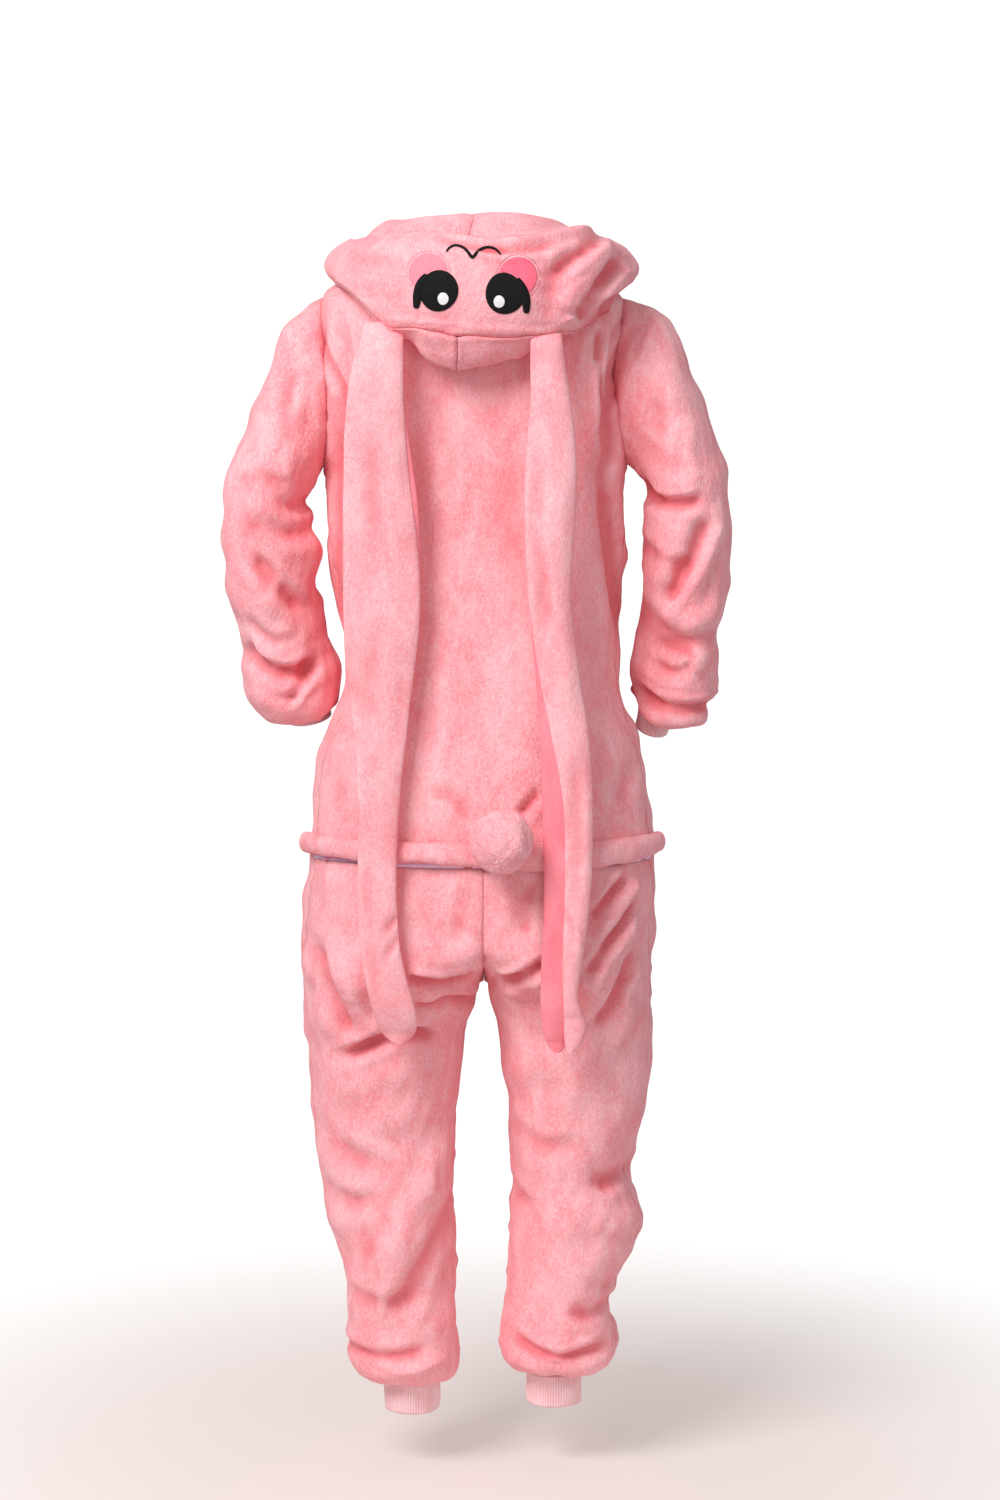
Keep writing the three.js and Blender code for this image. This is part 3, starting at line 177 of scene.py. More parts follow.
@dataclass(frozen=True)
class Crease:
    """One listed crease: a soft trough, or a ridge where depth is positive.

    width and depth are in millimetres; line holds (x, height above the floor) in metres.
    """

    name: str
    width: float
    depth: float
    line: tuple[tuple[float, float], ...]
    side: Side = Side.BACK

    def turned(self, shift: float, drop: float) -> "Crease":
        """The same crease on the front, moved and flipped so that it is no copy.

        Args:
            shift: How far it moves to the side, in metres.
            drop: How far it moves down, in metres.

        Returns:
            The crease for the hidden side.
        """
        tops = [z for _, z in self.line]
        middle = (max(tops) + min(tops)) / 2
        line = tuple((x + shift, 2 * middle - z - drop) for x, z in self.line)
        return replace(self, line=line, side=Side.FRONT)

    def at(self, points: np.ndarray, normals: np.ndarray) -> np.ndarray:
        """How far the crease moves each point along its normal.

        Args:
            points: Places in the row frame, one row each.
            normals: Their outward normals.

        Returns:
            One distance for each point, in metres.
        """
        moved = np.zeros(len(points))
        width = self.width * MM
        line = smooth_line(self.line) - np.array([0.0, SHOULDER_HEIGHT])
        low, high = line.min(axis=0) - 4 * width, line.max(axis=0) + 4 * width
        flat = points[:, [0, 2]]
        facing = ease((FADE_START + self.side.value * normals[:, 1]) / FADE_SPAN)
        near = np.nonzero(
            np.all(flat > low, axis=1) & np.all(flat < high, axis=1) & (facing > 0)
        )[0]
        if not len(near):
            return moved
        step = np.diff(line, axis=0)
        length = np.linalg.norm(step, axis=1)
        run = np.concatenate([[0.0], np.cumsum(length)])
        away = flat[near][:, None, :] - line[:-1][None]
        share = np.clip((away * step).sum(axis=2) / length**2, 0, 1)
        gap = np.linalg.norm(away - share[:, :, None] * step, axis=2)
        best = gap.argmin(axis=1)
        row = np.arange(len(near))
        turn = step[best, 0] * away[row, best, 1] - step[best, 1] * away[row, best, 0]
        along = (run[best] + share[row, best] * length[best]) / run[-1]
        far = gap[row, best] / width * np.where(turn > 0, *FLANKS)
        ends = ease(np.minimum(along + END_START, 1 + END_START - along) / END_SHARE)
        # A real crease is deeper in some places than in others.
        uneven = 1 + 0.22 * np.sin(along * 9 + self.width) + 0.1 * np.sin(along * 23)
        beside = BESIDE_TROUGH if self.depth < 0 else BESIDE_RIDGE
        beside = beside * np.exp(-(((far - BESIDE_AWAY) / BESIDE_WIDTH) ** 2))
        shape = np.exp(-(far**2)) - beside
        moved[near] = self.depth * MM * shape * ends * uneven * facing[near]
        return moved


@dataclass(frozen=True)
class Drape:
    """Everything that moves a panel's cloth off the plain form below it.

    seam_depth and seam_width are those of the groove along a seam, calm how far from a
    seam the swells start, lowest and highest how far the cloth may move, full the depth
    at which the shade painted into a hollow is at its darkest, and seam_shade how far
    from a seam the shade painted along it reaches, all in metres.
    """

    creases: tuple[Crease, ...]
    swells: tuple[Swell, ...] = (
        Swell(3, 0.150, 0.0013),
        Swell(7, 0.060, 0.0007),
        Swell(11, 0.024, 0.00025, (1.0, 1.0, 0.8)),
    )
    pucker: Swell = Swell(19, 0.022, 1.0, (1, 1, 1))
    seam_depth: float = 0.0022
    seam_width: float = 0.0065
    calm: float = 0.02
    lowest: float = -0.014
    highest: float = 0.009
    full: float = 0.0062
    seam_shade: float = 0.005

    def press(
        self, points: np.ndarray, normals: np.ndarray, seam: np.ndarray
    ) -> tuple[np.ndarray, np.ndarray]:
        """Works out where the cloth lies.

        Args:
            points: Places on the plain form, one row each.
            normals: Their outward normals.
            seam: Distance from each place to the nearest seam, in metres.

        Returns:
            The distance that each place moves along its normal, in metres, and how
            much shade is painted on it, from 0 to 1, most in a hollow and beside a seam.
        """
        folds = np.zeros(len(points))
        for crease in self.creases:
            folds += crease.at(points, normals)
        slow = sum(swell.at(points) for swell in self.swells)
        pucker = 1 + 0.35 * self.pucker.at(points)
        valley = self.seam_depth * np.exp(-((seam / self.seam_width) ** 2)) * pucker
        moved = folds + slow * ease(seam / self.calm) - valley
        moved = np.clip(moved, self.lowest, self.highest)
        # Shade is painted into the troughs of the creases and along the seams.
        hollow = np.clip(-folds / self.full, 0, 1) ** 1.3 + 0.3 * np.exp(
            -((seam / self.seam_shade) ** 2)
        )
        return moved, np.clip(hollow, 0, 1)


BACK_CREASES = (
    Crease(
        "left armhole hollow", 10, -11,
        ((-0.184, 1.329), (-0.177, 1.281), (-0.155, 1.228), (-0.153, 1.145), (-0.155, 1.046),
         (-0.155, 0.958)),
    ),
    Crease(
        "left shoulder roll", 12, 5,
        ((-0.168, 1.330), (-0.159, 1.265), (-0.144, 1.200), (-0.140, 1.090)),
    ),
    Crease(
        "left armhole line", 4, -8,
        ((-0.181, 1.298), (-0.168, 1.263), (-0.155, 1.226), (-0.150, 1.186)),
    ),
    Crease(
        "left side hollow", 8, -6,
        ((-0.167, 1.177), (-0.165, 1.111), (-0.162, 1.034), (-0.157, 0.956)),
    ),
    Crease("left shoulder hollow", 6, -5, ((-0.155, 1.311), (-0.146, 1.252), (-0.133, 1.189))),
    Crease(
        "right side hollow", 7, -10,
        ((0.172, 1.312), (0.151, 1.265), (0.139, 1.211), (0.141, 1.161), (0.135, 1.134),
         (0.148, 1.046), (0.164, 0.936)),
    ),
    Crease("right shoulder roll", 9, 5, ((0.128, 1.298), (0.123, 1.221), (0.119, 1.145))),
    Crease("right shoulder tuck", 6, -4, ((0.130, 1.299), (0.130, 1.262))),
    Crease(
        "right shoulder fold, outer", 4.5, -5,
        ((0.187, 1.313), (0.172, 1.280), (0.156, 1.248), (0.143, 1.211)),
    ),
    Crease(
        "right shoulder fold, inner", 5, -4,
        ((0.165, 1.333), (0.150, 1.300), (0.136, 1.272), (0.131, 1.221)),
    ),
    Crease(
        "right armhole line", 3.5, -7,
        ((0.134, 1.313), (0.129, 1.281), (0.130, 1.232), (0.132, 1.178)),
    ),
    Crease("right shoulder hollow", 6, -6, ((0.128, 1.298), (0.117, 1.243), (0.115, 1.189))),
    Crease(
        "middle hollow", 22, -3,
        ((0.024, 1.221), (0.031, 1.134), (0.042, 1.046), (0.051, 0.958)),
    ),
    Crease("middle swell", 26, 2.5, ((-0.037, 1.090), (-0.035, 0.980), (-0.028, 0.869))),
    Crease(
        "beside the left ear", 12, -3,
        ((-0.065, 1.200), (-0.061, 1.090), (-0.055, 0.958), (-0.059, 0.825)),
    ),
    Crease("tuck above the tail", 5, -7, ((0.036, 0.765), (0.048, 0.777), (0.061, 0.792))),
    Crease("pull above the zip", 6, -5, ((-0.015, 0.758), (-0.035, 0.780), (-0.059, 0.789))),
    Crease("pull beside the tail", 6, -3, ((0.071, 0.764), (0.096, 0.778), (0.129, 0.783))),
    Crease("left waist pull", 9, -3, ((-0.170, 0.825), (-0.159, 0.792), (-0.163, 0.756))),
    Crease("right waist pull", 9, -3, ((0.173, 0.825), (0.157, 0.786), (0.160, 0.756))),
)
SEAT_CREASES = (
    Crease(
        "under the seat, left", 6, -12,
        ((-0.088, 0.586), (-0.071, 0.580), (-0.042, 0.577), (-0.011, 0.586)),
    ),
    Crease("under the seat, right", 6, -12, ((0.016, 0.582), (0.040, 0.588), (0.069, 0.605))),
    Crease("left thigh fold", 5, -9, ((-0.077, 0.546), (-0.042, 0.556), (-0.015, 0.550))),
    Crease(
        "behind the left thigh", 6, -12,
        ((-0.163, 0.487), (-0.112, 0.512), (-0.081, 0.518), (-0.052, 0.511)),
    ),
    Crease("above that fold", 9, 6, ((-0.160, 0.504), (-0.110, 0.531), (-0.060, 0.534))),
    Crease("left hip ridge", 10, 8, ((-0.170, 0.629), (-0.148, 0.575), (-0.128, 0.522))),
    Crease("left hip hollow", 7, -8, ((-0.186, 0.614), (-0.167, 0.558), (-0.148, 0.511))),
    Crease("right hip ridge, high", 6, 6, ((0.154, 0.706), (0.140, 0.687), (0.120, 0.667))),
    Crease("right hip ridge, middle", 7, 8, ((0.173, 0.686), (0.149, 0.653), (0.121, 0.622))),
    Crease("right hip ridge, low", 7, 8, ((0.172, 0.641), (0.140, 0.597), (0.105, 0.543))),
    Crease("right thigh ridge", 8, 6, ((0.167, 0.550), (0.156, 0.525), (0.145, 0.494))),
    Crease("right hip hollow, high", 5, -9, ((0.164, 0.692), (0.142, 0.667), (0.123, 0.646))),
    Crease("right hip hollow, middle", 5, -11, ((0.175, 0.665), (0.146, 0.625), (0.116, 0.586))),
    Crease("right hip hollow, low", 5, -10, ((0.174, 0.609), (0.154, 0.564), (0.129, 0.522))),
    Crease("seat pull, left", 8, -3.5, ((-0.015, 0.687), (-0.024, 0.653), (-0.032, 0.620))),
    Crease("seat pull, right", 7, -4, ((0.054, 0.692), (0.049, 0.665), (0.046, 0.631))),
)
LEG_CREASES = (
    Crease("left calf long hollow", 11, -5, ((-0.112, 0.173), (-0.067, 0.254), (-0.016, 0.345))),
    Crease("left calf inner hollow", 8, -4, ((-0.061, 0.173), (-0.047, 0.219), (-0.033, 0.265))),
    Crease("left calf swell", 12, 6, ((-0.140, 0.208), (-0.095, 0.288), (-0.038, 0.391))),
    Crease("left calf slant", 9, -4, ((-0.149, 0.311), (-0.126, 0.244), (-0.133, 0.173))),
    Crease("left ankle slack", 7, -6, ((-0.177, 0.152), (-0.123, 0.138), (-0.061, 0.150))),
    Crease("left ankle roll", 9, 4, ((-0.174, 0.132), (-0.118, 0.118), (-0.038, 0.132))),
    Crease("left ankle slack, high", 8, -4, ((-0.157, 0.217), (-0.117, 0.205), (-0.072, 0.217))),
    Crease("left knee hollow", 10, -4, ((-0.184, 0.402), (-0.140, 0.370), (-0.092, 0.362))),
    Crease("left knee nick", 9, -4, ((-0.189, 0.333), (-0.151, 0.320), (-0.117, 0.327))),
    Crease("left gather", 5, -3, ((-0.152, 0.125), (-0.095, 0.118), (-0.044, 0.127))),
    Crease("right knee hollow", 9, -6, ((0.176, 0.354), (0.144, 0.338), (0.120, 0.345))),
    Crease("right knee swell", 11, 5, ((0.187, 0.297), (0.151, 0.286), (0.120, 0.294))),
    Crease("right calf hollow", 8, -3, ((0.176, 0.238), (0.145, 0.217), (0.118, 0.221))),
    Crease("right ankle slack, high", 8, -5, ((0.152, 0.201), (0.120, 0.185), (0.093, 0.194))),
    Crease(
        "right ankle slack, low", 7, -8,
        ((0.032, 0.164), (0.052, 0.148), (0.092, 0.138), (0.143, 0.155)),
    ),
    Crease("right ankle roll", 9, 4, ((0.027, 0.143), (0.086, 0.122), (0.145, 0.136))),
    Crease("right thigh hollow", 9, -4, ((0.028, 0.406), (0.063, 0.385), (0.108, 0.391))),
    Crease("right inner nick", 8, -4, ((0.024, 0.334), (0.052, 0.311))),
    Crease("right gather", 5, -3, ((0.058, 0.132), (0.092, 0.125), (0.131, 0.132))),
)
SLEEVE_CREASES = (
    Crease("left elbow nick", 6, -3, ((-0.218, 1.099), (-0.197, 1.108))),
    Crease("left elbow tuck", 8, -4, ((-0.257, 1.092), (-0.219, 1.075), (-0.183, 1.080))),
    Crease("left elbow roll", 9, 3, ((-0.255, 1.109), (-0.219, 1.095), (-0.186, 1.103))),
    Crease("left forearm hollow", 7, -8, ((-0.253, 1.047), (-0.224, 1.014), (-0.200, 0.984))),
    Crease("left forearm roll", 10, 4, ((-0.262, 1.020), (-0.238, 0.993), (-0.206, 0.969))),
    Crease(
        "left wrist fold", 7, -11,
        ((-0.270, 0.950), (-0.249, 0.928), (-0.218, 0.918), (-0.186, 0.934)),
    ),
    Crease("left wrist roll, low", 9, 4.5, ((-0.265, 0.898), (-0.231, 0.880), (-0.200, 0.887))),
    Crease("left wrist roll, high", 9, 4.5, ((-0.274, 0.968), (-0.242, 0.943), (-0.193, 0.955))),
    Crease("left wrist fork", 5, -9, ((-0.191, 0.928), (-0.202, 0.907), (-0.218, 0.883))),
    Crease("left forearm slack", 8, -5, ((-0.270, 0.975), (-0.240, 0.952), (-0.204, 0.952))),
    Crease("left arm swell", 12, 3, ((-0.205, 1.321), (-0.233, 1.243), (-0.248, 1.176))),
    Crease("left elbow hollow", 8, -4, ((-0.273, 1.130), (-0.245, 1.136), (-0.215, 1.123))),
    Crease("left forearm length", 12, -3, ((-0.273, 1.109), (-0.249, 1.042), (-0.249, 0.986))),
    Crease("left arm hollow", 10, -4, ((-0.205, 1.282), (-0.220, 1.221), (-0.214, 1.165))),
    Crease("right forearm trough", 8, -10, ((0.250, 1.090), (0.231, 1.042), (0.201, 0.990))),
    Crease("right forearm ridge", 8, 4, ((0.267, 1.085), (0.248, 1.031), (0.225, 0.984))),
    Crease("right wrist fold", 6, -10, ((0.167, 0.898), (0.207, 0.878), (0.262, 0.878))),
    Crease("right wrist roll", 9, 4.5, ((0.173, 0.919), (0.214, 0.900), (0.261, 0.898))),
    Crease("right wrist loop", 5, -7, ((0.188, 0.930), (0.211, 0.918), (0.234, 0.925))),
    Crease("right elbow tuck", 6, -9, ((0.174, 1.134), (0.202, 1.109), (0.244, 1.112))),
    Crease("right elbow roll", 9, 4, ((0.175, 1.153), (0.206, 1.131), (0.246, 1.133))),
    Crease("right forearm nick", 7, -5, ((0.172, 1.067), (0.202, 1.041), (0.236, 1.042))),
    Crease("right forearm slack", 9, -6, ((0.175, 0.991), (0.220, 0.952), (0.264, 0.966))),
    Crease("right forearm roll", 10, 4.5, ((0.180, 1.011), (0.225, 0.978), (0.264, 0.991))),
    Crease("right forearm slack, low", 7, -4, ((0.187, 0.952), (0.243, 0.928))),
    Crease("right arm swell", 12, 3, ((0.202, 1.299), (0.225, 1.232), (0.233, 1.176))),
    Crease("right arm hollow", 10, -3, ((0.191, 1.243), (0.199, 1.188), (0.186, 1.157))),
)
HOOD_CREASES = (
    Crease(
        "right stacked fold, high", 6.5, -15,
        ((0.150, 1.375), (0.129, 1.345), (0.116, 1.325), (0.098, 1.305)),
    ),
    Crease(
        "right stacked fold, low", 5, -13,
        ((0.170, 1.348), (0.146, 1.332), (0.124, 1.316), (0.087, 1.283)),
    ),
    Crease("right outer roll", 7, 5, ((0.129, 1.388), (0.113, 1.375), (0.094, 1.357))),
    Crease(
        "right outer fold", 6, -11,
        ((0.131, 1.396), (0.116, 1.384), (0.096, 1.371), (0.079, 1.356)),
    ),
    Crease(
        "between the stacked folds", 7, 9,
        ((0.163, 1.360), (0.133, 1.337), (0.116, 1.319), (0.090, 1.293)),
    ),
    Crease("above the stacked folds", 8, 9, ((0.135, 1.386), (0.116, 1.357), (0.086, 1.317))),
    Crease("left slack", 7, -6, ((-0.168, 1.347), (-0.149, 1.325), (-0.121, 1.295))),
    Crease("left lower roll", 9, 4, ((-0.162, 1.356), (-0.142, 1.332), (-0.116, 1.306))),
    Crease("left rim slack", 9, -3, ((-0.155, 1.384), (-0.128, 1.371), (-0.088, 1.371))),
    Crease("lower lip", 6, 3, ((-0.121, 1.306), (-0.069, 1.302), (0.018, 1.294), (0.096, 1.291))),
    Crease("nape tab", 5, 3, ((-0.034, 1.288), (-0.021, 1.291), (-0.013, 1.283))),
    Crease(
        "nape tuck", 3.2, -4.5,
        ((-0.019, 1.293), (-0.009, 1.281), (0.018, 1.277), (0.051, 1.271)),
    ),
    Crease(
        "rim hem", 4, -7,
        ((-0.047, 1.397), (-0.014, 1.391), (0.018, 1.386), (0.051, 1.386), (0.083, 1.393),
         (0.126, 1.400)),
    ),
    Crease("rim roll", 7, 5, ((0.018, 1.394), (0.051, 1.394), (0.083, 1.402), (0.118, 1.408))),
    Crease("right of the face", 10, -3, ((0.067, 1.384), (0.075, 1.346), (0.067, 1.308))),
    Crease("left of the face", 10, -2, ((-0.085, 1.371), (-0.088, 1.340), (-0.077, 1.310))),
)


# Height above the floor of the seam that catches the ears.
EAR_SEAM = 1.293
# How far the ears' top ends turn in under the hood's lip, how far below the seam that
# starts, and over what height.
EAR_TURN_IN, EAR_TURN_LOW, EAR_TURN_SPAN = 0.018, 0.012, 0.022
# Faces along and across an ear.
EAR_ROWS, EAR_COLUMNS = 200, 18
# An ear narrower than this bows less.
EAR_TIP = 0.03
EAR_SWELLS = (
    Swell(23, 0.110, 0.0012, (1, 1, 0.7)),
    Swell(29, 0.040, 0.0005, (1, 1, 0.6)),
)
# Outlines of the ears' layers: (height above the floor, left edge, right edge), in metres.
LEFT_OUTER = (
    (1.306, -0.132, -0.087),
    (1.290, -0.132, -0.087),
    (1.265, -0.1419, -0.0868),
    (1.222, -0.1486, -0.0869),
    (1.179, -0.1520, -0.0842),
    (1.157, -0.1521, -0.0827),
    (1.135, -0.1527, -0.0805),
    (1.114, -0.1533, -0.0779),
    (1.092, -0.1534, -0.0747),
    (1.070, -0.1535, -0.0725),
    (1.049, -0.1536, -0.0704),
    (1.005, -0.1537, -0.0689),
    (0.961, -0.1528, -0.0711),
    (0.918, -0.1508, -0.0767),
    (0.896, -0.1465, -0.0800),
    (0.852, -0.1412, -0.0844),
    (0.808, -0.1392, -0.0900),
    (0.764, -0.1382, -0.0934),
    (0.720, -0.1384, -0.0957),
    (0.676, -0.1385, -0.0958),
    (0.632, -0.1370, -0.0930),
    (0.610, -0.1345, -0.0898),
    (0.588, -0.1312, -0.0848),
    (0.565, -0.1262, -0.0785),
    (0.549, -0.1222, -0.0745),
    (0.536, -0.1180, -0.0732),
    (0.527, -0.1140, -0.0748),
    (0.520, -0.1085, -0.0788),
    (0.516, -0.1030, -0.0838),
    (0.514, -0.0975, -0.0890),
)
LEFT_LINING = (
    (1.304, -0.130, -0.087),
    (1.290, -0.130, -0.087),
    (1.222, -0.1464, -0.0858),
    (1.200, -0.1487, -0.0837),
    (1.179, -0.1498, -0.0810),
    (1.157, -0.1499, -0.0778),
    (1.135, -0.1505, -0.0746),
    (1.114, -0.1511, -0.0719),
    (1.092, -0.1512, -0.0703),
    (1.049, -0.1514, -0.0686),
    (1.005, -0.1515, -0.0678),
    (0.961, -0.1506, -0.0706),
    (0.896, -0.1443, -0.0811),
    (0.808, -0.1370, -0.0911),
    (0.720, -0.1362, -0.0968),
    (0.632, -0.1343, -0.0937),
    (0.565, -0.1242, -0.0805),
    (0.536, -0.1160, -0.0752),
    (0.527, -0.1115, -0.0772),
    (0.520, -0.1050, -0.0825),
    (0.517, -0.0990, -0.0880),
)
RIGHT_OUTER = (
    (1.306, 0.051, 0.085),
    (1.290, 0.051, 0.085),
    (1.265, 0.0506, 0.0885),
    (1.222, 0.0512, 0.0951),
    (1.179, 0.0474, 0.1005),
    (1.135, 0.0442, 0.1017),
    (1.092, 0.0442, 0.1002),
    (1.049, 0.0453, 0.0964),
    (1.005, 0.0486, 0.0960),
    (0.961, 0.0541, 0.0998),
    (0.918, 0.0607, 0.1054),
    (0.874, 0.0662, 0.1131),
    (0.830, 0.0722, 0.1186),
    (0.786, 0.0794, 0.1204),
    (0.742, 0.0827, 0.1205),
    (0.698, 0.0844, 0.1189),
    (0.654, 0.0850, 0.1152),
    (0.610, 0.0858, 0.1090),
    (0.588, 0.0866, 0.1056),
    (0.572, 0.0872, 0.1035),
    (0.560, 0.0878, 0.1050),
    (0.550, 0.0880, 0.1090),
    (0.540, 0.0880, 0.1125),
    (0.530, 0.0880, 0.1130),
    (0.521, 0.0885, 0.1105),
    (0.513, 0.0895, 0.1055),
    (0.508, 0.0910, 0.1000),
    (0.506, 0.0930, 0.0970),
)
RIGHT_LINING = (
    (1.304, 0.053, 0.083),
    (1.290, 0.053, 0.083),
    (1.222, 0.0528, 0.0918),
    (1.135, 0.0464, 0.0985),
    (1.049, 0.0475, 0.0943),
    (1.005, 0.0492, 0.0943),
    (0.961, 0.0530, 0.0966),
    (0.918, 0.0574, 0.1010),
    (0.874, 0.0602, 0.1055),
    (0.830, 0.0630, 0.1099),
    (0.786, 0.0641, 0.1122),
    (0.742, 0.0652, 0.1123),
    (0.698, 0.0664, 0.1102),
    (0.654, 0.0659, 0.1070),
    (0.610, 0.0637, 0.1038),
    (0.588, 0.0626, 0.1016),
    (0.565, 0.0621, 0.0984),
    (0.543, 0.0636, 0.0955),
    (0.530, 0.0648, 0.0945),
    (0.520, 0.0675, 0.0930),
    (0.512, 0.0712, 0.0905),
    (0.507, 0.0752, 0.0868),
    (0.505, 0.0790, 0.0835),
)
EAR_CREASES = (
    Crease("left ear, long dip", 6, -1.6, ((-0.119, 1.189), (-0.119, 1.049), (-0.122, 0.907))),
    Crease(
        "left ear, long swell", 7, 1.4,
        ((-0.099, 1.222), (-0.095, 1.092), (-0.099, 0.940), (-0.109, 0.786)),
    ),
    Crease("left ear, slant nick", 3.5, -2.6, ((-0.091, 0.658), (-0.100, 0.648), (-0.109, 0.636))),
    Crease(
        "left ear, slant nick below", 3.5, -2.2,
        ((-0.093, 0.634), (-0.101, 0.619), (-0.109, 0.601)),
    ),
    Crease("left ear, low dip", 6, -1.5, ((-0.128, 0.731), (-0.124, 0.643), (-0.116, 0.576))),
    Crease(
        "right ear, long dip", 5, -3.2,
        ((0.063, 1.179), (0.062, 1.114), (0.064, 1.049), (0.072, 0.983)),
    ),
    Crease(
        "right ear, rolled edge", 4, 1.6,
        ((0.051, 1.189), (0.047, 1.114), (0.050, 1.038), (0.055, 0.972)),
    ),
    Crease(
        "right ear, outer swell", 8, 1.8,
        ((0.085, 1.135), (0.083, 1.049), (0.087, 0.961), (0.098, 0.852)),
    ),
    Crease("right ear, lower dip", 6, -1.8, ((0.100, 0.830), (0.104, 0.742), (0.100, 0.676))),
    Crease("right ear, fold", 3.5, -2.4, ((0.087, 0.671), (0.097, 0.648), (0.100, 0.621))),
)


# ---------- finishes


def add(
    tree: NodeTree, kind: str, sockets: dict[str | int, object], **settings: object
) -> ShaderNode:
    """Adds a shader node with its settings and links.

    Args:
        tree: The material's node tree.
        kind: The node's type name.
        sockets: Input name or number, and its value or the socket that feeds it.
        settings: Attributes of the node.

    Returns:
        The new node.
    """
    node = tree.nodes.new(kind)
    for name, value in settings.items():
        setattr(node, name, value)
    for key, value in sockets.items():
        if isinstance(value, NodeSocket):
            tree.links.new(value, node.inputs[key])
        else:
            node.inputs[key].default_value = value
    return node


def blank(name: str) -> tuple[Material, NodeTree, ShaderNode]:
    """Starts a material.

    Args:
        name: The finish's name.

    Returns:
        The material, its tree and its Principled shader.
    """
    material = bpy.data.materials.new(name)
    material.use_nodes = True
    tree = material.node_tree
    return material, tree, tree.nodes["Principled BSDF"]


@dataclass(frozen=True)
class Plush:
    """Brushed flannel fleece: short soft pile with pale tips over a deeper base.

    The nap lies in patches a few centimetres across, and its tufts are a few
    millimetres wide. deep is the colour of the shade painted into its hollows, and
    shade how strongly it is painted. Colours are sRGB hex, sizes are in metres.
    """

    name: str
    tip: str
    base: str
    deep: str
    patch: float = 0.026
    tuft: float = 0.0034
    pile: float = 0.0019
    relief: float = 0.0013
    frost: float = 0.42
    sheen: float = 0.24
    shade: float = 0.58

    def build(self) -> Material:
        """Builds the fleece.

        Returns:
            The material.
        """
        material, tree, shader = blank(self.name)
        place = add(tree, "ShaderNodeTexCoord", {}).outputs["Object"]
        # The nap runs down the cloth, so its patches are longer than wide.
        nap = add(
            tree, "ShaderNodeMapping", {"Vector": place, "Scale": (1.0, 1.0, 0.55)}
        ).outputs["Vector"]
        patch = add(
            tree,
            "ShaderNodeTexNoise",
            {"Vector": nap, "Scale": 1 / self.patch, "Detail": 4.0, "Roughness": 0.62,
             "Distortion": 0.6},
        ).outputs["Fac"]
        tuft = add(
            tree,
            "ShaderNodeTexNoise",
            {"Vector": nap, "Scale": 1 / self.tuft, "Detail": 2.0, "Roughness": 0.6,
             "Distortion": 0.35},
        ).outputs["Fac"]
        pile = add(
            tree,
            "ShaderNodeTexNoise",
            {"Vector": place, "Scale": 1 / self.pile, "Detail": 1.0, "Roughness": 0.5},
        ).outputs["Fac"]
        # How much shade to paint here, from the piece's hollow attribute.
        hollow = add(tree, "ShaderNodeAttribute", {}, attribute_name="hollow")
        # Brushed patches, then the tufts on them, mix the base with the pale tips.
        tips: float | NodeSocket = 0.04
        for noise_, low, high, weight in ((patch, 0.3, 0.7, 0.52), (tuft, 0.34, 0.66, 0.3)):
            spread = add(
                tree,
                "ShaderNodeMapRange",
                {"Value": noise_, "From Min": low, "From Max": high},
                interpolation_type="SMOOTHSTEP",
            )
            tips = add(
                tree,
                "ShaderNodeMath",
                {0: spread.outputs["Result"], 1: weight, 2: tips},
                operation="MULTIPLY_ADD",
            ).outputs[0]
        cloth = add(
            tree,
            "ShaderNodeMix",
            {0: tips, FROM: linear(self.base), TO: linear(self.tip)},
            data_type="RGBA",
        ).outputs[MIXED]
        ends = add(
            tree,
            "ShaderNodeMapRange",
            {"Value": pile, "From Min": 0.5, "From Max": 0.75},
            interpolation_type="SMOOTHSTEP",
        )
        # The ends of the pile are frosted, and shade is painted into the hollows in the deep
        # colour.
        for share, weight, colour in (
            (ends.outputs["Result"], self.frost, "#ffdcde"),
            (hollow.outputs["Fac"], self.shade, self.deep),
        ):
            part = add(tree, "ShaderNodeMath", {0: share, 1: weight}, operation="MULTIPLY")
            cloth = add(
                tree,
                "ShaderNodeMix",
                {0: part.outputs[0], FROM: cloth, TO: linear(colour)},
                data_type="RGBA",
            ).outputs[MIXED]
        tree.links.new(cloth, shader.inputs["Base Color"])
        height = add(
            tree, "ShaderNodeMath", {0: pile, 1: 0.32, 2: tuft}, operation="MULTIPLY_ADD"
        )
        bump = add(
            tree,
            "ShaderNodeBump",
            {"Height": height.outputs[0], "Strength": 0.8, "Distance": self.relief},
        )
        tree.links.new(bump.outputs["Normal"], shader.inputs["Normal"])
        shader.inputs["Roughness"].default_value = 0.95
        shader.inputs["Specular IOR Level"].default_value = 0.12
        shader.inputs["Sheen Weight"].default_value = self.sheen
        shader.inputs["Sheen Roughness"].default_value = 0.6
        shader.inputs["Sheen Tint"].default_value = linear("#ffc4c9")
        return material


